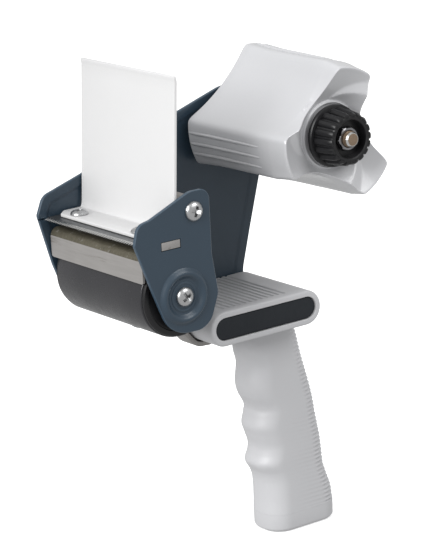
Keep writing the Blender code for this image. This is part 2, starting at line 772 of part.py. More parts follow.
def build_tension(centre):
    count = KNOB_FLUTES * 6
    bore = STUD_RADIUS + FIT_GAP

    def fluted(radius, y, depth):
        ring = []
        for i in range(count):
            t = 2.0 * math.pi * i / count
            r = radius - depth * (0.5 - 0.5 * math.cos(KNOB_FLUTES * t))
            ring.append((r * math.cos(t), y, r * math.sin(t)))
        return ring

    d = KNOB_FLUTE_DEPTH
    front = KNOB_FRONT_RADIUS
    rings = [
        fluted(bore, KNOB_NOSE_Y, 0.0),
        fluted(KNOB_NOSE_RADIUS, KNOB_NOSE_Y, 0.0),
        fluted(KNOB_NOSE_RADIUS, KNOB_FLANGE_Y, 0.0),
        fluted(KNOB_FLANGE_RADIUS - 0.0005, KNOB_FLANGE_Y, 0.0),
        fluted(KNOB_FLANGE_RADIUS, KNOB_FLANGE_Y - 0.0006, d * 0.3),
        fluted(KNOB_FLANGE_RADIUS - 0.0003, KNOB_FLANGE_Y - 0.0030, d * 0.6),
        fluted(KNOB_FLANGE_RADIUS - 0.0011, KNOB_FLANGE_Y - 0.0042, d),
        fluted(front + 0.0004, KNOB_FRONT_Y + 0.0016, d),
        fluted(front - 0.0008, KNOB_FRONT_Y, d * 0.4),
        fluted(KNOB_RECESS_RADIUS, KNOB_FRONT_Y, 0.0),
        fluted(KNOB_RECESS_RADIUS, KNOB_RECESS_Y, 0.0),
        fluted(bore, KNOB_RECESS_Y, 0.0),
    ]
    bm = bmesh.new()
    add_rings(bm, rings, cyclic=True)
    make_object("tension_knob", bm, BLACK, origin=centre, smooth=True)

    bm = bmesh.new()
    y0 = KNOB_RECESS_Y - FIT_GAP
    y1 = y0 - 0.0028
    profile = ((bore, y0), (0.0066, y0), (0.0066, y1 + 0.0006), (0.0060, y1), (bore, y1))
    add_lathe(bm, profile, closed=True)
    make_object("knob_insert", bm, BRIGHT, origin=centre, smooth=True)

    washer_near = KNOB_NOSE_Y + FIT_GAP
    washer_far = washer_near + 0.0015
    bm = bmesh.new()
    edge = HUB_POCKET_RADIUS - 0.0006
    add_lathe(bm, ((bore, washer_near), (edge, washer_near), (edge, washer_far), (bore, washer_far)),
              closed=True)
    make_object("tension_washer", bm, BRIGHT, origin=centre, smooth=True)

    start = washer_far + FIT_GAP + SPRING_WIRE_RADIUS
    end = HUB_POCKET_FLOOR_Y - FIT_GAP - SPRING_WIRE_RADIUS
    steps = SPRING_TURNS * 20
    rings = []
    for i in range(steps + 1):
        t = 2.0 * math.pi * SPRING_TURNS * i / steps
        y = start + (end - start) * i / steps
        ring = []
        for k in range(8):
            w = 2.0 * math.pi * k / 8
            r = SPRING_COIL_RADIUS + SPRING_WIRE_RADIUS * math.cos(w)
            ring.append((r * math.cos(t), y + SPRING_WIRE_RADIUS * math.sin(w), r * math.sin(t)))
        rings.append(ring)
    bm = bmesh.new()
    add_rings(bm, rings)
    make_object("tension_spring", bm, STEEL, origin=centre, smooth=True)


# ---------------------------------------------------------------- handle
def grip_section(front, rear, shrink, steps=6):
    half_x = (rear - front) / 2.0 - shrink
    half_y = GRIP_HALF_THICKNESS - shrink
    c = min(GRIP_CORNER - shrink * 0.7, half_x - 0.0008, half_y - 0.0008)
    cx = (front + rear) / 2.0
    points = []
    for q, (sx, sy) in enumerate(((1, 1), (-1, 1), (-1, -1), (1, -1))):
        for k in range(steps + 1):
            t = math.pi / 2.0 * (q + k / steps)
            x = cx + sx * (half_x - c) + c * math.cos(t)
            y = GRIP_CENTRE_Y + sy * (half_y - c) + c * math.sin(t)
            points.append((x, y))
    return points


def grip_edges(height):
    """Smooth interpolation of the front and rear edge of the grip at a height."""
    stations = GRIP_STATIONS
    index = 0
    while index < len(stations) - 2 and height < stations[index + 1][0]:
        index += 1
    z0 = stations[index][0]
    z1 = stations[index + 1][0]
    s = min(max((z0 - height) / (z0 - z1), 0.0), 1.0)
    result = []
    for column in (1, 2):
        p = [stations[min(max(index + k, 0), len(stations) - 1)][column] for k in (-1, 0, 1, 2)]
        value = 0.5 * (
            2.0 * p[1]
            + (p[2] - p[0]) * s
            + (2.0 * p[0] - 5.0 * p[1] + 4.0 * p[2] - p[3]) * s ** 2
            + (3.0 * p[1] - p[0] - 3.0 * p[2] + p[3]) * s ** 3
        )
        result.append(value)
    return result


def grip_rings(top, bottom, shrink, count):
    rings = []
    for i in range(count + 1):
        z = top + (bottom - top) * i / count
        front, rear = grip_edges(z)
        rings.append([(x, y, z) for x, y in grip_section(front, rear, shrink)])
    return rings


def build_handle():
    cx, cz = HEAD_CENTRE
    e = HEAD_EDGE
    bm = bmesh.new()
    rings = []
    for shrink, y in ((2.0 * e, HEAD_NEAR_Y), (0.6 * e, HEAD_NEAR_Y + 0.3 * e), (0.0, HEAD_NEAR_Y + e),
                      (0.0, HEAD_FAR_Y)):
        ring = stadium(cx, cz, HEAD_LENGTH - shrink, HEAD_HEIGHT - shrink)
        rings.append([(x, y, z) for x, z in ring])
    add_rings(bm, rings)
    handle = make_object("handle_body", bm, LIGHT_PLASTIC, smooth=True)

    bm = bmesh.new()
    add_rings(bm, grip_rings(GRIP_STATIONS[0][0], BUTT_TOP_Z, 0.0, 44))
    grip = make_object("handle_body_grip", bm, None)
    boolean(handle, grip, "UNION")

    cut = bmesh.new()
    inner = stadium(cx, cz, HEAD_LENGTH - 2.0 * HEAD_WALL, HEAD_HEIGHT - 2.0 * HEAD_WALL)
    add_prism(cut, inner, HEAD_NEAR_Y - 0.004, HEAD_CAVITY_END_Y)
    subtract(handle, cut)
    cut = bmesh.new()
    low = grip_rings(GRIP_CAVITY_TOP_Z, BUTT_TOP_Z, GRIP_WALL, 14)
    low.append([(x, y, z - 0.004) for x, y, z in low[-1]])
    add_rings(cut, low)
    subtract(handle, cut)
    cut = bmesh.new()
    for x in HANDLE_SCREWS_X:
        hole = PLATE_SCREW_SHANK + FIT_GAP
        add_lathe(cut, ((hole, HEAD_CAVITY_END_Y + 0.0015), (hole, HEAD_FAR_Y + 0.002)), x, cz, count=24)
    hole = 0.0017
    step = 2.0 * math.pi / 20
    bottom = cz - HEAD_HEIGHT / 2.0
    add_rings(cut, [
        [(STRAP_SCREW_X + hole * math.cos(step * i), STRAP_CENTRE_Y + hole * math.sin(step * i), z)
         for i in range(20)]
        for z in (bottom - 0.002, bottom + HEAD_WALL + 0.002)
    ])
    subtract(handle, cut)

    bm = bmesh.new()
    y0 = HEAD_NEAR_Y + PLUG_RECESS
    size = 2.0 * HEAD_WALL + 2.0 * FIT_GAP
    rings = []
    for shrink, y in ((0.0008, y0), (0.0, y0 + 0.0004), (0.0, y0 + PLUG_THICKNESS)):
        ring = stadium(cx, cz, HEAD_LENGTH - size - shrink, HEAD_HEIGHT - size - shrink)
        rings.append([(x, y, z) for x, z in ring])
    add_rings(bm, rings)
    make_object("head_plug", bm, DARK_PLASTIC, smooth=True)

    front, rear = grip_edges(BUTT_TOP_Z)
    top = BUTT_TOP_Z - FIT_GAP
    bottom = -BUTT_DROP
    rings = []
    inset = GRIP_WALL + BUTT_SPIGOT_PLAY
    for shrink, z in ((inset, top + BUTT_SPIGOT), (inset, top), (0.0, top), (0.0, bottom + BUTT_EDGE),
                      (0.0006, bottom + 0.0010), (BUTT_EDGE, bottom)):
        rings.append([(x, y, z) for x, y in grip_section(front, rear, shrink)])
    bm = bmesh.new()
    add_rings(bm, rings)
    make_object("butt_cap", bm, LIGHT_PLASTIC, smooth=True)

    build_strap()


def build_strap():
    """Zinc-plated tongue under the front of the head, turned up at its free end."""
    z_head = HEAD_CENTRE[1] - HEAD_HEIGHT / 2.0
    t = STRAP_THICKNESS
    top = z_head - FIT_GAP
    path = ((0.0560, top), (0.0400, top), (0.0330, top + 0.0025), (0.0265, top + 0.0075))
    under = ((0.0265 + 0.0005, top + 0.0075 - t * 1.25), (0.0330 + 0.0008, top + 0.0025 - t * 1.1),
             (0.0405, top - t), (0.0560, top - t))
    bm = bmesh.new()
    w = STRAP_HALF_WIDTH
    add_prism(bm, path + under, STRAP_CENTRE_Y - w, STRAP_CENTRE_Y + w)
    strap = make_object("handle_strap", bm, ZINC)
    cut = bmesh.new()
    hole = 0.0017
    step = 2.0 * math.pi / 20
    add_rings(cut, [
        [(STRAP_SCREW_X + hole * math.cos(step * i), STRAP_CENTRE_Y + hole * math.sin(step * i), z)
         for i in range(20)]
        for z in (top - t - 0.002, top + 0.002)
    ])
    subtract(strap, cut)
    seat = top - t - FIT_GAP / 2.0
    bm = bmesh.new()
    step = 2.0 * math.pi / 24
    profile = (
        (0.0014, z_head + HEAD_WALL - 0.0004),
        (0.0014, seat),
        (0.0034, seat),
        (0.0034, seat - 0.0008),
        (0.0026, seat - 0.0018),
    )
    add_rings(bm, [
        [(r * math.cos(step * i), r * math.sin(step * i), z) for i in range(24)] for r, z in profile
    ])
    make_object("strap_screw", bm, BRIGHT, origin=(STRAP_SCREW_X, STRAP_CENTRE_Y, 0.0), smooth=True)


def main():
    clear_scene()
    build_plates()
    build_front()
    build_fasteners()
    build_roller()
    build_hub()
    build_handle()
    bpy.context.view_layer.update()


main()
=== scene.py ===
"""Visual model of a hand-held packing-tape dispenser, laid out as a Blender add-on and run as a script.

Shapes are drawn in metres from the roller axis and moved to the row frame by BASE:
-X is the front (roller and blade), -Y the open loading side, +Z up.
"""

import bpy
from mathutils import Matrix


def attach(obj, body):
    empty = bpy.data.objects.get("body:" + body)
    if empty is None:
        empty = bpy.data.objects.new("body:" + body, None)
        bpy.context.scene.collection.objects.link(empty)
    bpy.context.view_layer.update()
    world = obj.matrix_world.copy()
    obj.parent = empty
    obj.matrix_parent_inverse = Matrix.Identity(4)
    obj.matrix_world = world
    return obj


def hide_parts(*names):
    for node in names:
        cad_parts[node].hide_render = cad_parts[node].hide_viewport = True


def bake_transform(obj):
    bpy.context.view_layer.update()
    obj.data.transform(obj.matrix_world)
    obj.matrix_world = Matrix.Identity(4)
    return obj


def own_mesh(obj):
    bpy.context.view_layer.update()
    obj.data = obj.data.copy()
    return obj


bl_info = {
    "name": "Tape Dispenser Builder",
    "version": (1, 0, 0),
    "blender": (4, 5, 0),
    "location": "View3D > Sidebar > Dispenser",
    "description": "Builds a pistol-grip packing-tape dispenser piece by piece",
    "category": "Object",
}

from math import atan2, cos, degrees, hypot, pi, radians, sin, sqrt, tan

import bmesh
import bpy
from bpy.props import FloatProperty, FloatVectorProperty, IntProperty, PointerProperty
from mathutils import Matrix, Vector

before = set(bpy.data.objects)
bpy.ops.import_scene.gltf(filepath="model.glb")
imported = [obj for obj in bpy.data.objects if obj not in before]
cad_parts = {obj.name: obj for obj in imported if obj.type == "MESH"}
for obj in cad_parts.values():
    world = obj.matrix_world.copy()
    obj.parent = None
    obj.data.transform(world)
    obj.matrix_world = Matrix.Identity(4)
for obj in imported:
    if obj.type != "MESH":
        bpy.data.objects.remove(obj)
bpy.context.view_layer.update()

BASE = Vector((-0.1015, -0.0134, 0.158))

PLATE_IN = 0.0415
PLATE_OUT = 0.0435
PLATE_EDGE = 0.00035
SHEET_HALF = 0.0405
ROLLER_R = 0.0214
ROLLER_HALF = 0.0390
HUB_X = 0.1037
HUB_Z = 0.0606
HUB_BOSS_Y = -0.0310
HUB_BOSS_R = 0.0176
HUB_SLOPE = 0.5625
HUB_LOBE = 70.6
HUB_LOBE_HALF = 18.9
SPACER_X = 0.0085
SPACER_Z = 0.0412
HEAD_X = 0.0702
HEAD_Z = -0.0323
HEAD_LENGTH = 0.0706
HEAD_HEIGHT = 0.0184
HEAD_NEAR = -0.0147
HEAD_FAR = 0.0412
GRIP_Y = 0.0134
GRIP_HALF_Y = 0.0135
BUTT_Z = -0.158
STRAP_Y = 0.0090


# ================================================================ settings
def count_setting(name, description, default, low, high):
    return IntProperty(name=name, description=description, default=default, min=low, max=high)


def length_setting(name, description, default):
    return FloatProperty(name=name, description=description, default=default, unit="LENGTH")


def colour_setting(name, description, *default):
    return FloatVectorProperty(name=name, description=description, default=default, subtype="COLOR", size=3)


class DispenserSettings(bpy.types.PropertyGroup):
    blade_teeth: count_setting("Blade teeth", "Teeth along the cutting edge", 42, 10, 80)
    tooth_depth: length_setting("Tooth depth", "Length of a blade tooth", 0.0024)
    sheet_thickness: length_setting("Flap thickness", "Thickness of the plastic tongue", 0.0016)
    knob_ribs: count_setting("Knob ribs", "Ribs round the tension knob", 18, 8, 40)
    head_grooves: count_setting("Head grooves", "Grip grooves on top of the handle's head", 12, 0, 20)
    groove_depth: length_setting("Groove depth", "Depth of the head's grooves", 0.0006)
    back_ridge_pitch: length_setting("Back ridge pitch", "Spacing of the ridges on the grip's back", 0.0023)
    back_ridge_depth: length_setting("Back ridge depth", "Depth of the ridges on the grip's back", 0.0009)
    hub_fillet: length_setting("Hub edge radius", "Rounding of the hub's lobe edges", 0.0010)
    ring_height: length_setting("Pressed ring height", "Height of the ring pressed round the axle screw", 0.0019)
    screw_facets: count_setting("Screw facets", "Sides of the round screw heads", 32, 12, 64)
    paint_colour: colour_setting("Plate paint", "Paint of the side plates", 0.024, 0.042, 0.062)
    plastic_colour: colour_setting("Handle plastic", "Plastic of the handle", 0.455, 0.457, 0.470)
    hub_colour: colour_setting("Hub plastic", "Plastic of the core hub", 0.455, 0.458, 0.472)
    tongue_colour: colour_setting("Tongue plastic", "Plastic of the tongue", 0.570, 0.570, 0.572)
    rubber_colour: colour_setting("Roller rubber", "Rubber of the roller", 0.016, 0.016, 0.019)
    zinc_colour: colour_setting("Zinc plate", "Colour of the zinc-plated parts", 0.262, 0.252, 0.243)
    floor_colour: colour_setting("Floor", "Colour of the floor", 0.900, 0.900, 0.900)


def settings():
    return bpy.context.scene.tape_dispenser


def running(*builders):
    """An operator's execute that calls the builders in turn."""
    def execute(self, context):
        for build in builders:
            build()
        return {"FINISHED"}
    return execute


# ================================================================ materials
def feed(tree, node, **inputs):
    """Give each named input of a node its constant, or the socket that drives it."""
    for key, value in inputs.items():
        socket = node.inputs[key.replace("_", " ")]
        if isinstance(value, bpy.types.NodeSocket):
            tree.links.new(value, socket)
        else:
            socket.default_value = value


def noise(tree, vector, scale, detail, roughness=0.5):
    node = tree.nodes.new("ShaderNodeTexNoise")
    feed(tree, node, Vector=vector, Scale=scale, Detail=detail, Roughness=roughness)
    return node.outputs["Fac"]


def spread(tree, value, low, high, start=0.3, stop=0.7):
    """Spread what lies between start and stop over low to high."""
    node = tree.nodes.new("ShaderNodeMapRange")
    feed(tree, node, Value=value, From_Min=start, From_Max=stop, To_Min=low, To_Max=high)
    return node.outputs["Result"]


def mixed(tree, factor, a, b, blend="MIX"):
    node = tree.nodes.new("ShaderNodeMix")
    node.data_type = "RGBA"
    node.blend_type = blend
    feed(tree, node, Factor=factor, A=a, B=b)
    return node.outputs["Result"]


def surface(name, colour, metallic=0.0, rough=(0.35, 0.45), patch=30.0, shade=0.05, grain=1500.0,
            bump=0.05, depth=0.0001, stretch=(1.0, 1.0, 1.0), coat=0.0, coat_rough=0.15, wear_and_sheen=None,
            wear_and_sheen_scale=60.0, wear_and_sheen_cover=0.62, specular=0.5, through=0.0, glow=0.0):
    """Procedural surface in metres: broad colour patches, fine grain, changing roughness, optional patches in a
    second colour: wear on most finishes, a painted highlight on the rubber.
    """
    mat = bpy.data.materials.new(name)
    mat.use_nodes = True
    tree = mat.node_tree
    place = tree.nodes.new("ShaderNodeTexCoord").outputs["Object"]
    mapping = tree.nodes.new("ShaderNodeMapping")
    feed(tree, mapping, Vector=place, Scale=stretch)
    drawn = mapping.outputs["Vector"]
    low = [c * (1.0 - shade) for c in colour] + [1.0]
    high = [min(1.0, c * (1.0 + shade)) for c in colour] + [1.0]
    tint = mixed(tree, noise(tree, place, patch, 4.0, 0.6), low, high)
    fine = noise(tree, drawn, grain, 3.0, 0.55)
    tint = mixed(tree, 1.0, tint, spread(tree, fine, 1.0 - shade, 1.0), "MULTIPLY")
    # Patches of a second colour: real wear on most finishes; on the rubber they are a painted highlight, streaks
    # of sheen.
    if wear_and_sheen is not None:
        rub_and_sheen = noise(tree, drawn, wear_and_sheen_scale, 6.0, 0.7)
        mask = spread(tree, rub_and_sheen, 0.0, 1.0, wear_and_sheen_cover, wear_and_sheen_cover + 0.08)
        tint = mixed(tree, mask, tint, (*wear_and_sheen, 1.0))
    relief = tree.nodes.new("ShaderNodeBump")
    feed(tree, relief, Strength=bump, Distance=depth, Height=fine)
    feed(tree, tree.nodes["Principled BSDF"], Base_Color=tint, Metallic=metallic,
         Roughness=spread(tree, noise(tree, drawn, patch * 5.0, 3.0), *rough),
         Normal=relief.outputs["Normal"], Specular_IOR_Level=specular,
         Coat_Weight=coat, Coat_Roughness=coat_rough, Subsurface_Weight=through,
         Subsurface_Radius=(0.004, 0.004, 0.004), Subsurface_Scale=1.0,
         Emission_Color=(1.0, 1.0, 1.0, 1.0), Emission_Strength=glow)
    return mat


def look(name):
    """Each named finish is made once and shared."""
    label = "finish_" + name
    made = bpy.data.materials.get(label)
    if made is not None:
        return made
    s = settings()
    brushed = (1.0, 0.06, 1.0)
    recipes = {
        "paint": dict(colour=s.paint_colour, rough=(0.30, 0.40), patch=22.0, shade=0.06, grain=1400.0,
                      bump=0.10, depth=0.0002, specular=0.45, wear_and_sheen=(0.040, 0.060, 0.080),
                      wear_and_sheen_scale=90.0, wear_and_sheen_cover=0.66),
        # The rounded plate edges get a lighter paint: a painted highlight where they catch the light.
        "paint_edge": dict(colour=[c * 1.4 for c in s.paint_colour], rough=(0.30, 0.40), patch=60.0,
                           shade=0.15, grain=1400.0, bump=0.06),
        "handle": dict(colour=s.plastic_colour, rough=(0.42, 0.50), patch=18.0, shade=0.015, grain=3200.0,
                       bump=0.10, depth=0.00015, through=0.05),
        "hub": dict(colour=s.hub_colour, rough=(0.20, 0.27), patch=14.0, shade=0.012, grain=700.0,
                    bump=0.03, depth=0.0001, coat=0.35, coat_rough=0.12, through=0.04),
        "tongue": dict(colour=s.tongue_colour, rough=(0.42, 0.52), patch=16.0, shade=0.010, grain=900.0,
                       bump=0.04, depth=0.0001, through=0.15),
        # The rubber's lighter patches are a painted highlight: streaks of sheen along the roller.
        "rubber": dict(colour=s.rubber_colour, rough=(0.24, 0.34), patch=45.0, shade=0.16, grain=1800.0,
                       specular=0.50, bump=0.25, depth=0.0002, wear_and_sheen=(0.050, 0.050, 0.054), wear_and_sheen_scale=240.0,
                       wear_and_sheen_cover=0.64),
        "black": dict(colour=(0.008, 0.008, 0.009), specular=0.35, rough=(0.28, 0.38), patch=40.0, shade=0.20,
                      grain=1700.0, bump=0.12, depth=0.0001),
        "plug": dict(colour=(0.014, 0.017, 0.021), specular=0.25, rough=(0.55, 0.65), patch=60.0,
                     shade=0.12, grain=2400.0, bump=0.30, depth=0.0002),
        "zinc": dict(colour=s.zinc_colour, metallic=0.25, rough=(0.42, 0.55), patch=70.0, shade=0.08,
                     grain=900.0, bump=0.10, depth=0.00008, stretch=brushed, wear_and_sheen=(0.165, 0.153, 0.140),
                     wear_and_sheen_scale=180.0, wear_and_sheen_cover=0.60),
        "olive": dict(colour=(0.130, 0.118, 0.085), metallic=0.6, rough=(0.40, 0.55), patch=160.0,
                      shade=0.30, grain=700.0, bump=0.10, wear_and_sheen=(0.24, 0.23, 0.20), wear_and_sheen_scale=300.0,
                      wear_and_sheen_cover=0.58),
        "blade": dict(colour=(0.150, 0.155, 0.160), metallic=0.85, rough=(0.30, 0.46), patch=200.0,
                      shade=0.25, grain=1200.0, bump=0.15, stretch=(0.08, 1.0, 1.0)),
        "ground": dict(colour=(0.62, 0.62, 0.61), metallic=1.0, rough=(0.18, 0.30), patch=300.0,
                       shade=0.15, grain=2600.0, bump=0.12, stretch=(0.1, 1.0, 1.0)),
        "bright": dict(colour=(0.47, 0.475, 0.48), metallic=1.0, rough=(0.24, 0.38), patch=220.0,
                       shade=0.08, grain=1800.0, bump=0.06, wear_and_sheen=(0.30, 0.285, 0.26), wear_and_sheen_scale=260.0,
                       wear_and_sheen_cover=0.66),
        "steel": dict(colour=(0.28, 0.28, 0.29), metallic=1.0, rough=(0.24, 0.36), patch=120.0,
                      shade=0.10, grain=1500.0, bump=0.08, stretch=brushed),
        "bronze": dict(colour=(0.240, 0.175, 0.120), metallic=0.55, rough=(0.34, 0.48), patch=300.0,
                       shade=0.18, grain=2200.0, bump=0.15, wear_and_sheen=(0.36, 0.28, 0.20), wear_and_sheen_scale=500.0,
                       wear_and_sheen_cover=0.62),
        "floor": dict(colour=s.floor_colour, rough=(0.70, 0.80), patch=2.0, shade=0.004, grain=60.0,
                      bump=0.01, glow=0.35),
    }
    return surface(label, **recipes[name])


# ================================================================ mesh helpers
def shell(rings, cyclic=False, slots=None, bm=None):
    """Skin equal-length closed loops; slots gives a material slot for each band."""
    if bm is None:
        bm = bmesh.new()
    loops = [[bm.verts.new(p) for p in ring] for ring in rings]
    pairs = list(zip(loops, loops[1:]))
    if cyclic:
        pairs.append((loops[-1], loops[0]))
    count = len(loops[0])
    slots = slots or (0,) * len(pairs)
    for slot, (low, high) in zip(slots, pairs):
        for i in range(count):
            j = (i + 1) % count
            bm.faces.new((low[i], low[j], high[j], high[i])).material_index = slot
    if not cyclic:
        bm.faces.new(loops[0]).material_index = slots[0]
        bm.faces.new(loops[-1]).material_index = slots[-1]
    return bm


def flat(outline, y):
    return [(x, y, z) for x, z in outline]


def circle(radius, y, cx=0.0, cz=0.0, count=64):
    step = 2.0 * pi / count
    return [(cx + radius * cos(step * i), y, cz + radius * sin(step * i)) for i in range(count)]


def lathe(profile, cx=0.0, cz=0.0, count=64, closed=False, slots=None, bm=None):
    return shell([circle(r, y, cx, cz, count) for r, y in profile], closed, slots, bm)


def rounded(corners, steps=10):
    """Fillet an (x, z, radius) outline."""
    result = []
    count = len(corners)
    for i, (x, z, radius) in enumerate(corners):
        here = Vector((x, z))
        before = Vector(corners[i - 1][:2]) - here
        after = Vector(corners[(i + 1) % count][:2]) - here
        if radius <= 0.0:
            result.append((x, z))
            continue
        half = before.angle(after) / 2.0
        reach = min(radius / tan(half), 0.49 * before.length, 0.49 * after.length)
        real = reach * tan(half)
        before.normalize()
        after.normalize()
        centre = here + (before + after).normalized() * (real / sin(half))
        start = here + before * reach - centre
        sweep = start.angle_signed(here + after * reach - centre)
        for k in range(steps + 1):
            c = cos(-sweep * k / steps)
            s = sin(-sweep * k / steps)
            result.append((centre.x + start.x * c - start.y * s, centre.y + start.x * s + start.y * c))
    return result if turning(result) > 0.0 else result[::-1]


def inset(points, distance):
    result = []
    count = len(points)
    for i in range(count):
        d1 = (Vector(points[i]) - Vector(points[i - 1])).normalized()
        d2 = (Vector(points[(i + 1) % count]) - Vector(points[i])).normalized()
        normal = Vector((-d1.y - d2.y, d1.x + d2.x)).normalized()
        share = max(0.3, normal.dot(Vector((-d1.y, d1.x))))
        moved = Vector(points[i]) + normal * (distance / share)
        result.append((moved.x, moved.y))
    return result


def turning(points):
    """Twice the signed area of a closed outline: positive when it runs from +X to +Z."""
    return sum(points[i - 1][0] * points[i][1] - points[i][0] * points[i - 1][1] for i in range(len(points)))


def inset_corners(corners, distance):
    """Offset a filleted outline inwards by its corners, so tight fillets never fold over."""
    ordered = list(corners) if turning(corners) > 0.0 else list(reversed(corners))
    moved = inset([(x, z) for x, z, _ in ordered], distance)
    result = []
    for i, (x, z, radius) in enumerate(ordered):
        a = Vector(ordered[i][:2]) - Vector(ordered[i - 1][:2])
        b = Vector(ordered[(i + 1) % len(ordered)][:2]) - Vector(ordered[i][:2])
        outward = a.x * b.y - a.y * b.x > 0.0
        near = max(0.0006, radius - distance) if outward else radius + distance
        result.append((moved[i][0], moved[i][1], near))
    return result


def stadium(cx, cz, length, height, steps=16):
    r = height / 2.0
    a = length / 2.0 - r
    points = []
    for side in (1.0, -1.0):
        for k in range(steps + 1):
            t = pi * k / steps - pi / 2.0
            if side < 0.0:
                t += pi
            points.append((cx + side * a + r * cos(t), cz + r * sin(t)))
    return points


def new_object(name, data):
    obj = bpy.data.objects.new(name, data)
    bpy.context.scene.collection.objects.link(obj)
    return obj


def mesh_object(name, bm, looks):
    bmesh.ops.remove_doubles(bm, verts=bm.verts, dist=1e-7)
    bmesh.ops.recalc_face_normals(bm, faces=bm.faces)
    mesh = bpy.data.meshes.new(name)
    bm.to_mesh(mesh)
    bm.free()
    for entry in looks:
        mesh.materials.append(look(entry))
    return new_object(name, mesh)


def bake(obj):
    """Turn the evaluated object into a plain mesh and drop its modifiers."""
    bpy.context.view_layer.update()
    graph = bpy.context.evaluated_depsgraph_get()
    mesh = bpy.data.meshes.new_from_object(obj.evaluated_get(graph), depsgraph=graph)
    obj.modifiers.clear()
    obj.data = mesh
    return obj


def carve(obj, bm, operation="DIFFERENCE"):
    cutter = mesh_object(obj.name + "_tool", bm, ())
    mod = obj.modifiers.new("cut", "BOOLEAN")
    mod.operation = operation
    mod.solver = "EXACT"
    mod.object = cutter
    bake(obj)
    bpy.data.objects.remove(cutter, do_unlink=True)
    return obj


def settle(obj, angle=32.0):
    """Move to the row frame and shade smooth up to an angle."""
    obj.data.transform(Matrix.Translation(BASE))
    obj.data.shade_smooth()
    obj.data.set_sharp_from_angle(angle=radians(angle))


def finish_piece(obj, body, nodes, angle=32.0):
    """Settle the piece, attach it to its body and hide the CAD nodes it stands for."""
    settle(obj, angle)
    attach(obj, body)
    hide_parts(*nodes)
    return obj


# ================================================================ geometry nodes
def open_group(name, **sockets):
    """Geometry node group that takes geometry, the named sockets and a material."""
    tree = bpy.data.node_groups.new(name, "GeometryNodeTree")
    tree.interface.new_socket("Geometry", in_out="OUTPUT", socket_type="NodeSocketGeometry")
    for label, kind in (("Geometry", "Geometry"), *sockets.items(), ("Material", "Material")):
        tree.interface.new_socket(label.replace("_", " "), in_out="INPUT", socket_type="NodeSocket" + kind)
    return tree, tree.nodes.new("NodeGroupInput").outputs


def close_group(tree, entry, result):
    """End a group: real geometry in the given material."""
    real = tree.nodes.new("GeometryNodeRealizeInstances")
    paint = tree.nodes.new("GeometryNodeSetMaterial")
    feed(tree, real, Geometry=result)
    feed(tree, paint, Geometry=real.outputs["Geometry"], Material=entry["Material"])
    feed(tree, tree.nodes.new("NodeGroupOutput"), Geometry=paint.outputs["Geometry"])
    return tree


def copies_tree(name):
    """Copies of a shape at the points of a mesh, turned about Y by an even step."""
    tree, entry = open_group(name, Shape="Object", Turn_Step="Float")
    info = tree.nodes.new("GeometryNodeObjectInfo")
    times = tree.nodes.new("ShaderNodeMath")
    euler = tree.nodes.new("ShaderNodeCombineXYZ")
    turn = tree.nodes.new("FunctionNodeEulerToRotation")
    place = tree.nodes.new("GeometryNodeInstanceOnPoints")
    times.operation = "MULTIPLY"
    tree.links.new(tree.nodes.new("GeometryNodeInputIndex").outputs["Index"], times.inputs[0])
    tree.links.new(entry["Turn Step"], times.inputs[1])
    feed(tree, info, Object=entry["Shape"])
    feed(tree, euler, Y=times.outputs["Value"])
    feed(tree, turn, Euler=euler.outputs["Vector"])
    feed(tree, place, Points=entry["Geometry"], Instance=info.outputs["Geometry"],
         Rotation=turn.outputs["Rotation"])
    return close_group(tree, entry, place.outputs["Instances"])


def wire_tree(name):
    """A round wire along the edges of a mesh path."""
    tree, entry = open_group(name, Wire_Radius="Float", Wire_Sides="Int")
    path = tree.nodes.new("GeometryNodeMeshToCurve")
    ring = tree.nodes.new("GeometryNodeCurvePrimitiveCircle")
    sweep = tree.nodes.new("GeometryNodeCurveToMesh")
    feed(tree, path, Mesh=entry["Geometry"])
    feed(tree, ring, Radius=entry["Wire Radius"], Resolution=entry["Wire Sides"])
    feed(tree, sweep, Curve=path.outputs["Curve"], Profile_Curve=ring.outputs["Curve"], Fill_Caps=True)
    return close_group(tree, entry, sweep.outputs["Mesh"])


def grown(name, points, edges, group, make, **values):
    """Mesh that a node group grows on points and edges."""
    mesh = bpy.data.meshes.new(name)
    mesh.from_pydata([tuple(p) for p in points], edges, [])
    obj = new_object(name, mesh)
    tree = bpy.data.node_groups.get(group) or make(group)
    mod = obj.modifiers.new("nodes", "NODES")
    mod.node_group = tree
    sockets = {s.name: s.identifier for s in tree.interface.items_tree if s.in_out == "INPUT"}
    for key, value in values.items():
        mod[sockets[key.replace("_", " ")]] = value
    return bake(obj)


def copies(name, points, shape, material_name, turn_step=0.0):
    """Mesh of shape repeated at points; the shape object is used up."""
    obj = grown(name, points, [], "copies_on_points", copies_tree, Shape=shape, Turn_Step=turn_step,
                Material=look(material_name))
    bpy.data.objects.remove(shape, do_unlink=True)
    return obj


def wire(name, points, radius, sides, material_name):
    edges = [(i, i + 1) for i in range(len(points) - 1)]
    return grown(name, points, edges, "wire_along_path", wire_tree, Wire_Radius=radius, Wire_Sides=sides,
                 Material=look(material_name))


def helix(radius, y0, y1, turns, per_turn=24):
    """Points of a screw line round the hub's axis."""
    steps = int(turns * per_turn)
    points = []
    for i in range(steps + 1):
        t = 2.0 * pi * turns * i / steps
        points.append((HUB_X + radius * cos(t), y0 + (y1 - y0) * i / steps, HUB_Z + radius * sin(t)))
    return points


def join(target, *others):
    """Merge other plain meshes into target, keeping their materials."""
    bm = bmesh.new()
    names = [m.name for m in target.data.materials]
    bm.from_mesh(target.data)
    for other in others:
        start = len(bm.faces)
        bm.from_mesh(other.data)
        bm.faces.ensure_lookup_table()
        table = []
        for mat in other.data.materials:
            if mat.name not in names:
                names.append(mat.name)
            table.append(names.index(mat.name))
        for face in bm.faces[start:]:
            face.material_index = table[min(face.material_index, len(table) - 1)]
    mesh = bpy.data.meshes.new(target.name)
    bm.to_mesh(mesh)
    bm.free()
    for entry in names:
        mesh.materials.append(bpy.data.materials[entry])
    target.data = mesh
    for other in others:
        bpy.data.objects.remove(other, do_unlink=True)
    return target


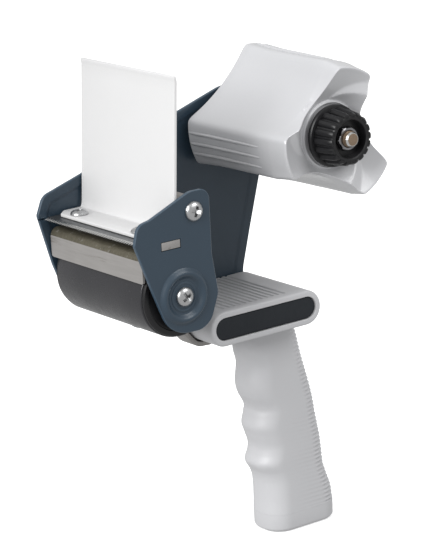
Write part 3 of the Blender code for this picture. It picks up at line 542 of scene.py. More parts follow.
# ================================================================ side plates
NEAR_CORNERS = (
    (-0.0270, 0.0303, 0.003), (-0.0180, 0.0050, 0.010), (-0.0090, -0.0182, 0.016),
    (0.0142, -0.0190, 0.011), (0.0206, -0.0020, 0.008), (0.0180, 0.0180, 0.020),
    (0.0185, 0.0512, 0.008), (0.0068, 0.0512, 0.009), (-0.0170, 0.0415, 0.008),
    (-0.0245, 0.0400, 0.006),
)
FAR_CORNERS = (
    (-0.0275, 0.0315, 0.003), (-0.0205, 0.0050, 0.010), (-0.0120, -0.0180, 0.014),
    (0.0080, -0.0230, 0.020), (0.0280, -0.0400, 0.010), (0.1000, -0.0400, 0.008),
    (0.0975, -0.0230, 0.020), (0.1040, 0.0000, 0.020), (0.1120, 0.0270, 0.020),
    (0.1225, 0.0600, 0.016), (0.1160, 0.0790, 0.016), (0.0900, 0.0790, 0.020),
    (0.0617, 0.0700, 0.020), (-0.0005, 0.0480, 0.020), (-0.0235, 0.0410, 0.007),
)


def box(x0, x1, y0, y1, z0, z1, bm=None):
    return shell([[(x0, y, z0), (x1, y, z0), (x1, y, z1), (x0, y, z1)] for y in (y0, y1)], bm=bm)


def paint_ends(bm):
    """Give the two end faces of a skinned solid the first material."""
    for face in bm.faces:
        if len(face.verts) > 4:
            face.material_index = 0


def plate_tools(y0, y1):
    bore = ((0.0028, y0), (0.0028, y1))
    bm = lathe(bore, count=32)
    lathe(bore, SPACER_X, SPACER_Z, count=32, bm=bm)
    return box(-0.0117, -0.0001, y0, y1, 0.0247, 0.0293, bm)


def plate_skin(corners, layers, slots):
    return shell([flat(rounded(inset_corners(corners, reach)), y) for reach, y in layers], slots=slots)


def build_far_plate():
    step = 0.0007
    rim = ((0.0044, 0.0), (0.0049, step * 0.10), (0.0058, step * 0.92), (0.0064, step))
    edge = PLATE_EDGE
    layers = [(reach, PLATE_IN + rise) for reach, rise in reversed(rim)]
    layers += [(edge, PLATE_IN), (0.0, PLATE_IN + edge), (0.0, PLATE_OUT - edge), (edge, PLATE_OUT)]
    layers += [(reach, PLATE_OUT + rise) for reach, rise in rim]
    # The plate's edge bands take the lighter paint, a painted highlight.
    skin = plate_skin(FAR_CORNERS, layers, (0, 0, 0, 0, 1, 1, 1, 0, 0, 0, 0))
    plate = mesh_object("side_plate_far", skin, ("paint", "paint_edge"))
    y0 = PLATE_IN - 0.003
    y1 = PLATE_OUT + 0.004
    tool = plate_tools(y0, y1)
    lathe(((0.0043, y0), (0.0043, y1)), HUB_X, HUB_Z, count=32, bm=tool)
    box(-0.0400, -0.0235, y0, PLATE_IN + 0.0010, 0.0290, 0.0300, tool)
    carve(plate, tool)
    finish_piece(plate, "frame", ("far_side_plate",))


def build_near_plate():
    edge = PLATE_EDGE
    layers = ((edge, -PLATE_IN), (0.0, -PLATE_IN - edge), (0.0, -PLATE_OUT + edge), (edge, -PLATE_OUT))
    # The edge bands take the lighter paint, a painted highlight; the two broad faces keep the plain paint.
    skin = plate_skin(NEAR_CORNERS, layers, (1, 1, 1))
    paint_ends(skin)
    plate = mesh_object("side_plate_near", skin, ("paint", "paint_edge"))
    height = settings().ring_height
    profile = [(0.0080, -PLATE_OUT + 0.0008)]
    for k in range(13):
        t = k / 12.0
        bulge = sin(pi * t) ** 1.3
        profile.append((0.0088 + 0.0056 * t, -PLATE_OUT + 0.00005 - height * bulge))
    profile.append((0.0148, -PLATE_OUT + 0.0008))
    carve(plate, lathe(profile, count=96, closed=True), "UNION")
    low = -PLATE_OUT + 0.0006
    collar = ((0.0058, low), (0.0078, low), (0.0076, low - 0.0008), (0.0070, low - 0.0010),
              (0.0062, low - 0.0008))
    carve(plate, lathe(collar, closed=True), "UNION")
    carve(plate, plate_tools(-PLATE_OUT - 0.003, -PLATE_IN + 0.003))
    finish_piece(plate, "frame", ("near_side_plate",))


class DISPENSER_OT_plates(bpy.types.Operator):
    """Build the two painted side plates"""
    bl_idname = "dispenser.plates"
    bl_label = "Side plates"
    execute = running(build_far_plate, build_near_plate)


# ================================================================ bar, blade, strip, spacer
def sheet_rings(path, thickness, width_at):
    """Four-cornered rings along an (x, z) path: a bent sheet whose half width may change."""
    rings = []
    for i, p in enumerate(path):
        before = Vector(path[max(i - 1, 0)])
        after = Vector(path[min(i + 1, len(path) - 1)])
        d = (after - before).normalized()
        n = Vector((-d.y, d.x)) * (thickness / 2.0)
        w = width_at(i)
        a = Vector(p) + n
        b = Vector(p) - n
        rings.append([(a.x, -w, a.y), (a.x, w, a.y), (b.x, w, b.y), (b.x, -w, b.y)])
    return rings


def bevel(bm, width, angle=40.0):
    """Round the sharp edges of a closed mesh."""
    bmesh.ops.recalc_face_normals(bm, faces=bm.faces)
    sharp = [e for e in bm.edges if e.is_manifold and e.calc_face_angle(0.0) > radians(angle)]
    bmesh.ops.bevel(bm, geom=sharp, offset=width, segments=2, profile=0.5, affect="EDGES")
    return bm


def build_bar():
    bm = bevel(box(-0.0114, -0.0004, -PLATE_OUT, PLATE_OUT, 0.0250, 0.0290), 0.0003)
    finish_piece(mesh_object("bar", bm, ("zinc",)), "frame", ("cross_bar",))


def build_blade():
    s = settings()
    top = 0.0301
    low = 0.0293
    root_x = -0.0245 + s.tooth_depth
    half = 0.0411
    body = mesh_object("blade", box(root_x, -0.0010, -half, half, low, top), ("blade",))
    pitch = 2.0 * half / s.blade_teeth
    w = pitch / 2.0
    tip = -s.tooth_depth
    flat_tip = 0.00006
    edge = tip * 0.98
    edge_z = low + 0.00012
    root = [(0.0, -w, low), (0.0, w, low), (0.0, w, top), (0.0, -w, top)]
    point = [(tip, -flat_tip, low), (tip, flat_tip, low), (edge, flat_tip, edge_z), (edge, -flat_tip, edge_z)]
    shape = mesh_object("tooth", shell((root, point)), ("ground",))
    spots = [(root_x, -half + pitch * (i + 0.5), 0.0) for i in range(s.blade_teeth)]
    join(body, copies("blade_teeth", spots, shape, "ground"))
    finish_piece(body, "frame", ("cutter_blade",), angle=20.0)


def build_strip():
    t = 0.0012
    front = -0.0215 + t / 2.0
    top = 0.0247 - t / 2.0
    knee = 0.0042
    foot = 0.0098
    path = [(front, foot + 0.0003 * k) for k in range(4)]
    path += [(front, 0.0125), (front, 0.0160), (front, top - knee)]
    for k in range(1, 9):
        a = pi / 2.0 * k / 8
        path.append((front + knee * (1.0 - cos(a)), top - knee + knee * sin(a)))
    path.append((-0.0010, top))
    cut = 0.0014

    def width_at(i):
        rise = min(1.0, (path[i][1] - foot) / cut)
        return SHEET_HALF - cut * (1.0 - sqrt(max(0.0, 1.0 - (1.0 - rise) ** 2)))

    upright = 7
    slots = (0,) * upright + (1,) * (len(path) - 1 - upright)
    bm = shell(sheet_rings(path, t, width_at), slots=slots)
    strip = mesh_object("guide_strip", bm, ("zinc", "olive"))
    finish_piece(strip, "frame", ("tape_guide_strip",))


def build_spacer():
    end = PLATE_IN - 0.0003
    rim = ((0.0030, end), (0.0064, end), (0.0070, end - 0.0006))
    profile = [(r, -y) for r, y in rim] + [(r, y) for r, y in reversed(rim)]
    bm = lathe(profile, SPACER_X, SPACER_Z, count=48, closed=True)
    finish_piece(mesh_object("spacer_tube", bm, ("zinc",)), "frame", ("upper_spacer",))


class DISPENSER_OT_front(bpy.types.Operator):
    """Build the cross bar, toothed blade, bent strip and spacer tube"""
    bl_idname = "dispenser.front"
    bl_label = "Bar, blade and strip"
    execute = running(build_bar, build_blade, build_strip, build_spacer)


# ================================================================ tongue
def build_tongue():
    """Foot and flap in one bent sheet, baked in place."""
    t = settings().sheet_thickness
    mid = 0.0304 + t / 2.0
    path = [(-0.0176 + 0.0010 * k, mid) for k in range(6)]
    path += [(-0.0095, mid), (-0.0060, mid), (-0.0040, mid)]
    start = Vector((-0.00285, mid))
    bend = Vector((start.x + 0.0019, mid))
    rise = Vector((start.x + 0.0023, mid + 0.0052))
    for k in range(9):
        s = k / 8.0
        p = start * (1.0 - s) ** 2 + bend * (2.0 * s * (1.0 - s)) + rise * s ** 2
        path.append((p.x, p.y))
    top = Vector((0.0050, 0.1047))
    path += [tuple(rise.lerp(top, k / 12.0)) for k in range(1, 13)]
    path.append((top.x - 0.0001, top.y + 0.0010))
    path.append((top.x - 0.0005, top.y + 0.0028))

    def width_at(i):
        return SHEET_HALF - max(0.0, 0.0050 - (path[i][0] + 0.0176)) if i < 6 else SHEET_HALF

    bm = bevel(shell(sheet_rings(path, t, width_at)), 0.00025)
    sheet = mesh_object("tongue", bm, ("tongue",))
    settle(sheet)
    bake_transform(sheet)
    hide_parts("tongue_foot", "tongue_flap")


class DISPENSER_OT_tongue(bpy.types.Operator):
    """Build the bent plastic tongue"""
    bl_idname = "dispenser.tongue"
    bl_label = "Tongue"
    execute = running(build_tongue)


# ================================================================ screws
def screw_shape(head, height, shank, length):
    """Pan-head cross-recess screw standing on its seat at y = 0, head towards -Y."""
    seat = 0.0003
    profile = [(shank * 0.8, length), (shank, length - 0.0006), (shank, 0.0), (head * 0.97, 0.0), (head, -seat)]
    for k in range(1, 8):
        a = pi / 2.0 * k / 7.5
        profile.append((head * cos(a) ** 0.75, -seat - (height - seat) * sin(a) ** 1.1))
    screw = mesh_object("screw_shape", lathe(profile, count=settings().screw_facets), ("bright",))
    wide = head * 0.16
    for tilt in (0.6, 0.6 + pi / 2.0):
        c = cos(tilt)
        d = sin(tilt)
        rings = []
        for arm, y in ((head * 0.66, -height - 0.0005), (head * 0.21, -height * 0.10)):
            cross = ((-arm, -wide), (arm, -wide), (arm, wide), (-arm, wide))
            rings.append([(u * c - v * d, y, u * d + v * c) for u, v in cross])
        carve(screw, shell(rings))
    return screw


class DISPENSER_OT_screws(bpy.types.Operator):
    """Build the cross-recess screws of plates, handle and tongue"""
    bl_idname = "dispenser.screws"
    bl_label = "Screws"

    def execute(self, context):
        plate = (0.0050, 0.0028, 0.0025, 0.0140)
        seat = PLATE_OUT + 0.0007
        quarter = pi / 2.0
        groups = (
            ("screws_near", plate, 0.0, "Z", [(0.0, -PLATE_OUT, 0.0), (SPACER_X, -PLATE_OUT, SPACER_Z)], 0.9,
             ("axle_screw_near", "spacer_screw_near")),
            ("screws_far", plate, pi, "Z", [(0.0, seat, 0.0), (SPACER_X, seat, SPACER_Z)], 0.7,
             ("axle_screw_far", "spacer_screw_far")),
            ("screws_handle", (0.0050, 0.0028, 0.0025, 0.0110), pi, "Z",
             [(x, seat, HEAD_Z) for x in (0.0460, 0.0702, 0.0940)], 0.5,
             ("handle_screw_1", "handle_screw_2", "handle_screw_3")),
            ("screws_tongue", (0.0045, 0.0024, 0.0016, 0.0100), -quarter, "X",
             [(-0.0122, y, 0.0321) for y in (-0.0268, 0.0268)], 0.0, ("tongue_screw_near", "tongue_screw_far")),
            ("screw_strap", (0.0034, 0.0018, 0.0014, 0.0050), quarter, "X", [(0.0480, STRAP_Y, -0.0443)], 0.0,
             ("strap_screw",)),
        )
        for name, size, angle, axis, spots, spin, nodes in groups:
            shape = screw_shape(*size)
            shape.data.transform(Matrix.Rotation(angle, 4, axis))
            finish_piece(copies(name, spots, shape, "bright", spin), "frame", nodes)
        return {"FINISHED"}


# ================================================================ roller
class DISPENSER_OT_roller(bpy.types.Operator):
    """Build the rubber sleeve and the black end discs of the roller"""
    bl_idname = "dispenser.roller"
    bl_label = "Roller"

    def execute(self, context):
        half = ROLLER_HALF - 0.0018
        fillet = 0.0008
        end = [(0.0168, half)]
        for k in range(5):
            a = pi / 2.0 * k / 4
            end.append((ROLLER_R - fillet + fillet * sin(a), half - fillet * (1.0 - cos(a))))
        end.append((ROLLER_R, half * 0.4))
        profile = [(r, -y) for r, y in end] + end[::-1]
        # The sleeve's lighter rubber patches are a painted highlight.
        sleeve = mesh_object("rubber_sleeve", lathe(profile, count=128, closed=True), ("rubber",))
        finish_piece(sleeve, "roller", ("roller_sleeve",))
        for tag, side in (("near", -1.0), ("far", 1.0)):
            y0 = side * (ROLLER_HALF - 0.0015)
            y1 = side * ROLLER_HALF
            sunk = y1 - side * 0.0006
            profile = (
                (0.0042, y0), (0.0208, y0), (0.0208, y1 - side * 0.0005), (0.0203, y1), (0.0180, y1),
                (0.0176, sunk), (0.0110, sunk), (0.0106, y1), (0.0042, y1),
            )
            disc = mesh_object("end_disc_" + tag, lathe(profile, count=96, closed=True), ("black",))
            finish_piece(disc, "roller", ("roller_end_" + tag,))
        return {"FINISHED"}


# ================================================================ hub
def hub_outline(radius, fillet, waist):
    """Three-lobed outline with rounded lobe edges; the point count never changes."""
    third = pi / 3.0
    half = radians(HUB_LOBE_HALF)
    edge_x = cos(third - half)
    edge_y = sin(third - half)
    sag = edge_x - waist
    bend = (edge_y ** 2 + sag ** 2) / (2.0 * sag)
    centre = waist + bend
    raw = []
    for lobe in range(3):
        start = radians(HUB_LOBE + 120.0 * lobe)
        polar = [(-half + 2.0 * half * k / 24, 1.0) for k in range(25)]
        for k in range(1, 40):
            t = half + (2.0 * third - 2.0 * half) * k / 40
            reach = centre * cos(third - t)
            polar.append((t, reach - sqrt(reach ** 2 - centre ** 2 + bend ** 2)))
        raw += [(radius * f * cos(start + t), radius * f * sin(start + t)) for t, f in polar]
    count = len(raw)
    for _ in range(max(1, int(round(fillet / 0.0004)))):
        raw = [
            ((raw[i - 1][0] + 2.0 * raw[i][0] + raw[(i + 1) % count][0]) / 4.0,
             (raw[i - 1][1] + 2.0 * raw[i][1] + raw[(i + 1) % count][1]) / 4.0)
            for i in range(count)
        ]
    return raw


def dish_y(x, z):
    """Height of the dished near end: a funnel with a spiral crease running over each lobe."""
    r = hypot(x, z)
    turn = degrees(atan2(z, x)) - HUB_LOBE
    phi = (turn + 60.0) % 120.0 - 60.0
    y = HUB_BOSS_Y - max(0.0, r - HUB_BOSS_R) * HUB_SLOPE
    crease = 0.0251 - 0.000355 * phi
    if r > HUB_BOSS_R and phi < 20.0 and r < crease:
        fade = min(1.0, (60.0 + phi) / 26.0)
        y -= 0.42 * fade * min(crease - r, r - HUB_BOSS_R)
    return y


def oval(x, y, depth, width, count):
    step = 2.0 * pi / count
    return [(x + depth * sin(step * j), y, width * cos(step * j)) for j in range(count)]


def build_hub():
    fillet = settings().hub_fillet
    far = 0.0373
    waist = 0.57
    wall = (
        (0.0387, far, 0.66), (0.0391, far - 0.0003, 0.66), (0.0392, far - 0.0010, 0.66), (0.0385, 0.0300, 0.65),
        (0.0379, 0.0200, 0.63), (0.0377, 0.0100, 0.615), (0.0377, 0.0, 0.60), (0.0376, -0.0100, 0.585),
        (0.0376, -0.0200, waist), (0.0375, -0.0290, waist), (0.0372, -0.0298, waist),
    )
    rings = []
    for radius, y, share in wall:
        rings.append([(HUB_X + x, y, HUB_Z + z) for x, z in hub_outline(radius, fillet, share)])
    for radius, lift in ((0.0358, 0.0024), (0.0354, 0.0010), (0.0350, 0.0003), (0.0345, 0.0001)):
        outline = hub_outline(radius, fillet, waist)
        rings.append([(HUB_X + x, dish_y(x, z) + lift, HUB_Z + z) for x, z in outline])
    steps = 22
    for k in range(1, steps + 1):
        ring = []
        for x, z in outline:
            reach = hypot(x, z)
            keep = reach + (HUB_BOSS_R + 0.0003 - reach) * k / steps
            px = x / reach * keep
            pz = z / reach * keep
            ring.append((HUB_X + px, dish_y(px, pz) + 0.0002, HUB_Z + pz))
        rings.append(ring)
    angles = [atan2(z, x) for x, z in outline]
    boss = (
        (HUB_BOSS_R, HUB_BOSS_Y - 0.0003), (HUB_BOSS_R - 0.0004, HUB_BOSS_Y - 0.0009),
        (HUB_BOSS_R - 0.0009, HUB_BOSS_Y - 0.0011), (0.0166, HUB_BOSS_Y - 0.0011), (0.0164, HUB_BOSS_Y),
        (0.0098, HUB_BOSS_Y), (0.0095, HUB_BOSS_Y + 0.0003), (0.0095, -0.0080), (0.0043, -0.0080), (0.0043, far),
    )
    for radius, y in boss:
        rings.append([(HUB_X + radius * cos(a), y, HUB_Z + radius * sin(a)) for a in angles])
    hub = mesh_object("core_hub", shell(rings, cyclic=True), ("hub",))
    stations = (
        (0.0367, 0.0388, 0.8), (0.0345, 0.0389, 1.0), (0.0200, 0.0380, 1.0), (0.0000, 0.0377, 0.95),
        (-0.0150, 0.0376, 0.75), (-0.0200, 0.0376, 0.55), (-0.0212, 0.0374, 0.30),
    )
    body = [oval(reach - 0.0003, y, 0.0010 * share, 0.0009 * share ** 0.5, 10) for y, reach, share in stations]
    shape = mesh_object("ridge_shape", shell(body), ("hub",))
    ridges = []
    for lobe in range(3):
        for offset in (-8.5, 0.0, 8.5):
            turn = radians(HUB_LOBE + 120.0 * lobe + offset)
            ridge = new_object("ridge", shape.data.copy())
            ridge.data.transform(Matrix.Rotation(-turn, 4, "Y"))
            ridge.data.transform(Matrix.Translation((HUB_X, 0.0, HUB_Z)))
            ridges.append(ridge)
    bpy.data.objects.remove(shape, do_unlink=True)
    join(hub, *ridges)
    finish_piece(hub, "hub", ("hub_body",), angle=28.0)


def build_stud():
    r = 0.0040
    profile = (
        (r - 0.0009, -0.0500), (r - 0.0006, -0.0499), (r - 0.0001, -0.0492), (r - 0.0001, 0.0387),
        (0.0106, 0.0387), (0.0110, 0.0390), (0.0110, 0.0412), (r, 0.0412), (r - 0.0001, 0.0510),
        (r - 0.0007, 0.0520),
    )
    bm = lathe(profile, HUB_X, HUB_Z, count=48, slots=(1, 1, 0, 0, 0, 0, 0, 0, 0))
    paint_ends(bm)
    stud = mesh_object("stud", bm, ("bronze", "ground"))
    tail = wire("stud_tail_thread", helix(r - 0.0001, 0.0452, 0.0514, 5), 0.00035, 6, "bronze")
    tip = wire("stud_tip_thread", helix(r - 0.0002, -0.0488, -0.0438, 4), 0.00035, 6, "bronze")
    join(stud, tail, tip)
    finish_piece(stud, "frame", ("hub_stud",))
    hex_nut("hub_nut", 0.0460, 0.0508, 0.0065, "frame", "stud_nut", "bright")


def hex_nut(name, y0, y1, apothem, body, node, finish):
    """Hexagon nut with chamfered corners on the hub's stud."""
    count = 72
    bore = 0.0042
    d = 1.0 if y1 > y0 else -1.0

    def ring(y, cap, flats=True):
        points = []
        for i in range(count):
            t = 2.0 * pi * i / count
            fold = (t + pi / 6.0) % (pi / 3.0) - pi / 6.0
            r = min(apothem / cos(fold), cap) if flats else cap
            points.append((HUB_X + r * sin(t), y, HUB_Z + r * cos(t)))
        return points

    rings = [
        ring(y0, bore, False), ring(y0, apothem * 0.97, False), ring(y0 + d * 0.00035, apothem * 1.06),
        ring(y0 + d * 0.0008, apothem * 1.1547), ring(y1 - d * 0.0008, apothem * 1.1547),
        ring(y1 - d * 0.00035, apothem * 1.06), ring(y1, apothem * 0.97, False),
        ring(y1, bore + 0.0004, False), ring(y1 - d * 0.0004, bore, False),
    ]
    finish_piece(mesh_object(name, shell(rings, cyclic=True), (finish,)), body, (node,))


class DISPENSER_OT_hub(bpy.types.Operator):
    """Build the three-lobed core hub, its stud and nut"""
    bl_idname = "dispenser.hub"
    bl_label = "Core hub"
    execute = running(build_hub, build_stud)


# ================================================================ knob and spring
def build_knob():
    ribs = settings().knob_ribs
    flange = -0.0335
    front = -0.0487
    profile = (
        (0.0043, -0.0296), (0.0068, -0.0296), (0.0070, -0.0299), (0.0070, flange), (0.0154, flange),
        (0.0160, flange - 0.0005), (0.0160, flange - 0.0020), (0.0156, flange - 0.0026),
        (0.0134, flange - 0.0030), (0.0133, flange - 0.0036), (0.0123, front + 0.0012),
        (0.0120, front + 0.0004), (0.0115, front), (0.0102, front), (0.0098, front + 0.0004),
        (0.0095, -0.0437), (0.0043, -0.0437),
    )
    knob = mesh_object("knob", lathe(profile, HUB_X, HUB_Z, count=96, closed=True), ("black",))
    rings = []
    back = flange - 0.0027
    span = front - back
    wide = pi * 0.0136 / ribs * 0.80
    for k in range(9):
        u = k / 8.0
        y = back + span * u
        r = 0.0142 + (0.0127 - 0.0142) * u
        share = min(1.0, u * 6.0 + 0.3) if u < 0.5 else min(1.0, (1.0 - u) * 9.0 + 0.45)
        rings.append(oval(r - 0.0007, y, 0.0016 * share, wide * (1.0 - 0.10 * u), 12))
    shape = mesh_object("rib_shape", shell(rings), ("black",))
    spots = [(HUB_X, 0.0, HUB_Z)] * ribs
    join(knob, copies("knob_ribs", spots, shape, "black", 2.0 * pi / ribs))
    finish_piece(knob, "knob", ("tension_knob",))
    hex_nut("knob_nut", -0.0440, -0.0468, 0.0057, "knob", "knob_insert", "steel")


def build_spring():
    coil = helix(0.0072, -0.0265, -0.0091, 5, per_turn=32)
    spring = wire("spring_wire", coil, 0.0008, 10, "steel")
    finish_piece(spring, "frame", ("tension_spring",), angle=60.0)
    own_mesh(spring)


class DISPENSER_OT_knob(bpy.types.Operator):
    """Build the ribbed tension knob, its metal insert and the spring"""
    bl_idname = "dispenser.knob"
    bl_label = "Tension knob"
    execute = running(build_knob, build_spring)


# ================================================================ handle
GRIP_STATIONS = (
    (-0.0360, 0.0700, 0.1010), (-0.0500, 0.0712, 0.1045), (-0.0580, 0.0720, 0.1062),
    (-0.0640, 0.0733, 0.1076), (-0.0740, 0.0720, 0.1102), (-0.0800, 0.0730, 0.1118),
    (-0.0880, 0.0767, 0.1135), (-0.0920, 0.0761, 0.1141), (-0.0980, 0.0746, 0.1149),
    (-0.1030, 0.0760, 0.1158), (-0.1095, 0.0779, 0.1169), (-0.1140, 0.0773, 0.1174),
    (-0.1190, 0.0754, 0.1178), (-0.1250, 0.0784, 0.1182), (-0.1300, 0.0797, 0.1194),
    (-0.1400, 0.0798, 0.1226), (-0.1480, 0.0794, 0.1234),
)


def grip_edges(height):
    index = 0
    while index < len(GRIP_STATIONS) - 2 and height < GRIP_STATIONS[index + 1][0]:
        index += 1
    z0 = GRIP_STATIONS[index][0]
    z1 = GRIP_STATIONS[index + 1][0]
    s = min(max((z0 - height) / (z0 - z1), 0.0), 1.0)
    last = len(GRIP_STATIONS) - 1
    result = []
    for column in (1, 2):
        p = [GRIP_STATIONS[min(max(index + k, 0), last)][column] for k in (-1, 0, 1, 2)]
        result.append(0.5 * (2.0 * p[1] + (p[2] - p[0]) * s
                             + (2.0 * p[0] - 5.0 * p[1] + 4.0 * p[2] - p[3]) * s ** 2
                             + (3.0 * p[1] - p[0] - 3.0 * p[2] + p[3]) * s ** 3))
    return result


def grip_section(front, rear, shrink=0.0, ridge=0.0, steps=10):
    half_x = (rear - front) / 2.0 - shrink
    half_y = GRIP_HALF_Y - shrink
    c = min(0.0110 - shrink * 0.7, half_x - 0.0008, half_y - 0.0008)
    cx = (front + rear) / 2.0
    points = []
    for q, (sx, sy) in enumerate(((1, 1), (-1, 1), (-1, -1), (1, -1))):
        for k in range(steps + 1):
            t = pi / 2.0 * (q + k / steps)
            x = cx + sx * (half_x - c) + c * cos(t)
            y = GRIP_Y + sy * (half_y - c) + c * sin(t)
            if ridge > 0.0:
                back = ridge * min(1.0, max(0.0, (x - cx) / half_x - 0.50) / 0.14)
                x -= back * cos(t)
                y -= back * sin(t)
            points.append((x, y))
    return points


def head_rings(s):
    """Rings along Y of the head tube; its top carries grooves that end short of the near end."""
    pitch = 0.00353
    first = 0.0470
    count = s.head_grooves

    def ring_at(y, shrink, groove):
        ring = []
        r = (HEAD_HEIGHT - shrink) / 2.0
        a = HEAD_LENGTH / 2.0 - HEAD_HEIGHT / 2.0
        for k in range(17):
            t = -pi / 2.0 + pi * k / 16
            ring.append((HEAD_X + a + r * cos(t), y, HEAD_Z + r * sin(t)))
        samples = 180
        for k in range(1, samples):
            x = HEAD_X + a - 2.0 * a * k / samples
            place = (x - first) / pitch
            dip = 0.0
            if count > 0 and -0.5 <= place <= count - 0.5:
                off = abs(place - round(place))
                dip = max(0.0, 1.0 - (off / 0.26) ** 2) ** 0.5 if off < 0.26 else 0.0
            ring.append((x, y, HEAD_Z + r - groove * dip))
        for k in range(17):
            t = pi / 2.0 + pi * k / 16
            ring.append((HEAD_X - a + r * cos(t), y, HEAD_Z + r * sin(t)))
        return ring

    depth = s.groove_depth
    rings = []
    for shrink, y in ((0.0026, 0.0), (0.0014, 0.00012), (0.0006, 0.00045), (0.0, 0.0012)):
        rings.append(ring_at(HEAD_NEAR + y, shrink, 0.0))
    for y, share in ((-0.0095, 0.0), (-0.0092, 0.6), (-0.0086, 0.95), (-0.0076, 1.0), (HEAD_FAR, 1.0)):
        rings.append(ring_at(y, 0.0, depth * share))
    return rings


def build_handle():
    s = settings()
    handle = mesh_object("handle", shell(head_rings(s)), ("handle",))
    under = HEAD_Z - HEAD_HEIGHT / 2.0
    rings = []
    top = under + 0.0040
    steps = 270
    for i in range(steps + 1):
        z = top + (-0.1480 - top) * i / steps
        front, rear = grip_edges(z)
        flare = 0.0
        below = under - z
        if below < 0.0030:
            flare = 0.0030 * (1.0 - sqrt(max(0.0, 1.0 - (1.0 - max(below, 0.0) / 0.0030) ** 2)))
        phase = (z + 0.0520) / s.back_ridge_pitch
        ridge = 0.0
        if -0.1475 < z < -0.0440:
            ridge = s.back_ridge_depth * (0.5 - 0.5 * cos(2.0 * pi * phase))
        rings.append([(x, y, z) for x, y in grip_section(front, rear, -flare, ridge)])
    carve(handle, shell(rings), "UNION")
    wall = 0.0064
    rings = []
    for grow, y in ((0.0006, HEAD_NEAR - 0.001), (0.0006, HEAD_NEAR + 0.00001), (0.0, HEAD_NEAR + 0.0003),
                    (0.0, 0.0300)):
        rings.append(flat(stadium(HEAD_X, HEAD_Z, HEAD_LENGTH - wall + grow, HEAD_HEIGHT - wall + grow), y))
    carve(handle, shell(rings))
    finish_piece(handle, "frame", ("handle_body",), angle=38.0)

    rings = []
    y0 = HEAD_NEAR + 0.0008
    gap = 0.0070
    for shrink, y in ((0.0012, y0), (0.0004, y0 + 0.0001), (0.0, y0 + 0.0004), (0.0, y0 + 0.0060)):
        rings.append(flat(stadium(HEAD_X, HEAD_Z, HEAD_LENGTH - gap - shrink, HEAD_HEIGHT - gap - shrink), y))
    plug = mesh_object("dark_plug", shell(rings), ("plug",))
    finish_piece(plug, "frame", ("head_plug",))

    front, rear = grip_edges(-0.1480)
    rings = []
    seam = -0.14804
    for shrink, z in ((0.0051, seam + 0.0060), (0.0051, seam), (0.0, seam)):
        rings.append([(x, y, z) for x, y in grip_section(front, rear, shrink)])
    edge = 0.0030
    for k in range(1, 9):
        a = pi / 2.0 * k / 8
        shrink = edge * (1.0 - cos(a))
        z = BUTT_Z + edge * (1.0 - sin(a))
        rings.append([(x, y, z) for x, y in grip_section(front, rear, shrink)])
    cap = mesh_object("butt", shell(rings), ("handle",))
    finish_piece(cap, "frame", ("butt_cap",))


def build_strap():
    t = 0.0025
    top = HEAD_Z - HEAD_HEIGHT / 2.0 - 0.0003
    mid = top - t / 2.0
    path = [(0.0560 - 0.0020 * k, mid) for k in range(8)]
    for k in range(1, 7):
        a = radians(50.0) * k / 6
        path.append((0.0420 - 0.0080 * sin(a), mid + 0.0080 * (1.0 - cos(a))))
    tail = Vector(path[-1])
    run = Vector((-cos(radians(50.0)), sin(radians(50.0))))
    for k in range(1, 13):
        p = tail + run * (0.0075 * sin(pi / 2.0 * k / 12))
        path.append((p.x, p.y))
    count = len(path)

    def width_at(i):
        left = (Vector(path[-1]) - Vector(path[i])).length
        if i > count - 13 and left < 0.0045:
            return 0.0015 + 0.0045 * sqrt(max(0.0, 1.0 - (1.0 - left / 0.0045) ** 2))
        return 0.0060

    bm = bevel(shell(sheet_rings(path, t, width_at)), 0.0003, angle=60.0)
    strap = mesh_object("strap", bm, ("zinc",))
    strap.data.transform(Matrix.Translation((0.0, STRAP_Y, 0.0)))
    finish_piece(strap, "frame", ("handle_strap",))


class DISPENSER_OT_handle(bpy.types.Operator):
    """Build the handle with its plug, butt cap and strap"""
    bl_idname = "dispenser.handle"
    bl_label = "Handle"
    execute = running(build_handle, build_strap)


# ================================================================ carried-over nodes, stage
class DISPENSER_OT_hidden(bpy.types.Operator):
    """Give the plain inner parts their finishes"""
    bl_idname = "dispenser.hidden"
    bl_label = "Inner parts"

    def execute(self, context):
        finishes = {
            "roller_core": "black", "roller_axle": "steel", "roller_washer_near": "bright",
            "roller_washer_far": "bright", "stud_washer": "bright", "friction_washer": "black",
            "tension_washer": "bright",
        }
        for node, finish in finishes.items():
            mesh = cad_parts[node].data
            mesh.materials.clear()
            mesh.materials.append(look(finish))
        return {"FINISHED"}


def area_light(name, place, size, power):
    """Rectangular light aimed at the middle of the object."""
    data = bpy.data.lights.new(name, "AREA")
    data.shape = "RECTANGLE"
    data.size, data.size_y = size
    data.energy = power
    light = new_object(name, data)
    light.location = place
    light.rotation_euler = (Vector((0.0, 0.0, 0.15)) - Vector(place)).to_track_quat("-Z", "Y").to_euler()


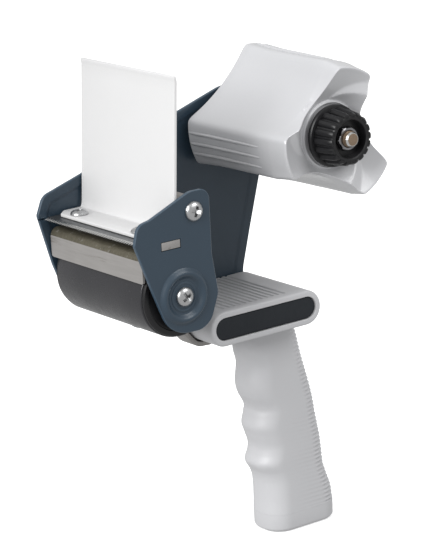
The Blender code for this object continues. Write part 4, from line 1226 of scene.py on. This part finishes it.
class DISPENSER_OT_stage(bpy.types.Operator):
    """Floor, soft light and camera"""
    bl_idname = "dispenser.stage"
    bl_label = "Stage"

    def execute(self, context):
        scene = context.scene
        bm = bmesh.new()
        span = 12.0
        corners = ((-span, -span), (span, -span), (span, span), (-span, span))
        bm.faces.new([bm.verts.new((x, y, 0.0)) for x, y in corners])
        floor = mesh_object("floor", bm, ("floor",))
        floor.visible_diffuse = False
        floor.visible_glossy = False
        world = bpy.data.worlds.new("studio")
        world.use_nodes = True
        sky = world.node_tree.nodes["Background"]
        feed(world.node_tree, sky, Color=(1.0, 1.0, 1.0, 1.0), Strength=0.68)
        scene.world = world
        area_light("key", (-1.4, -0.55, 0.62), (0.22, 0.30), 3.6)
        area_light("near_fill", (0.26, -0.62, 0.80), (0.5, 0.5), 3.4)
        sun_data = bpy.data.lights.new("sky_panel", "SUN")
        sun_data.energy = 2.6
        sun_data.angle = radians(40.0)
        sun = new_object("sky_panel", sun_data)
        sun.rotation_euler = Vector((-0.82, -0.18, 0.54)).to_track_quat("Z", "Y").to_euler()
        azimuth = radians(-35.307)
        elevation = radians(14.865)
        roll = radians(-3.516)
        back = Vector((sin(azimuth) * cos(elevation), -cos(azimuth) * cos(elevation),
                       sin(elevation)))
        right = Vector((cos(azimuth), sin(azimuth), 0.0))
        up = back.cross(right)
        side = right * cos(roll) + up * sin(roll)
        rise = up * cos(roll) - right * sin(roll)
        data = bpy.data.cameras.new("camera")
        data.lens = 168.5
        data.sensor_width = 36.0
        data.shift_x = 0.0080
        data.shift_y = -0.0251
        data.clip_end = 100.0
        camera = new_object("camera", data)
        aim = BASE + Vector((0.050, 0.0, 0.0))
        spot = aim + back * 1.3085
        camera.matrix_world = Matrix((
            (side.x, rise.x, back.x, spot.x),
            (side.y, rise.y, back.y, spot.y),
            (side.z, rise.z, back.z, spot.z),
            (0.0, 0.0, 0.0, 1.0),
        ))
        scene.camera = camera
        scene.view_settings.view_transform = "Standard"
        return {"FINISHED"}


class DISPENSER_PT_panel(bpy.types.Panel):
    """Sizes, colours and build steps of the dispenser"""
    bl_idname = "DISPENSER_PT_panel"
    bl_label = "Tape dispenser"
    bl_space_type = "VIEW_3D"
    bl_region_type = "UI"
    bl_category = "Dispenser"

    def draw(self, context):
        layout = self.layout
        for key in DispenserSettings.__annotations__:
            layout.prop(context.scene.tape_dispenser, key)
        for operator in STEPS:
            layout.operator(operator.bl_idname)


STEPS = (
    DISPENSER_OT_plates, DISPENSER_OT_front, DISPENSER_OT_tongue, DISPENSER_OT_screws, DISPENSER_OT_roller,
    DISPENSER_OT_hub, DISPENSER_OT_knob, DISPENSER_OT_handle, DISPENSER_OT_hidden, DISPENSER_OT_stage,
)
CLASSES = (DispenserSettings,) + STEPS + (DISPENSER_PT_panel,)


def register():
    for cls in CLASSES:
        bpy.utils.register_class(cls)
    bpy.types.Scene.tape_dispenser = PointerProperty(type=DispenserSettings)


def unregister():
    del bpy.types.Scene.tape_dispenser
    for cls in reversed(CLASSES):
        bpy.utils.unregister_class(cls)


def main():
    register()
    bpy.ops.dispenser.plates()
    bpy.ops.dispenser.front()
    bpy.ops.dispenser.tongue()
    bpy.ops.dispenser.screws()
    bpy.ops.dispenser.roller()
    bpy.ops.dispenser.hub()
    bpy.ops.dispenser.knob()
    bpy.ops.dispenser.handle()
    bpy.ops.dispenser.hidden()
    bpy.ops.dispenser.stage()


if __name__ == "__main__":
    main()
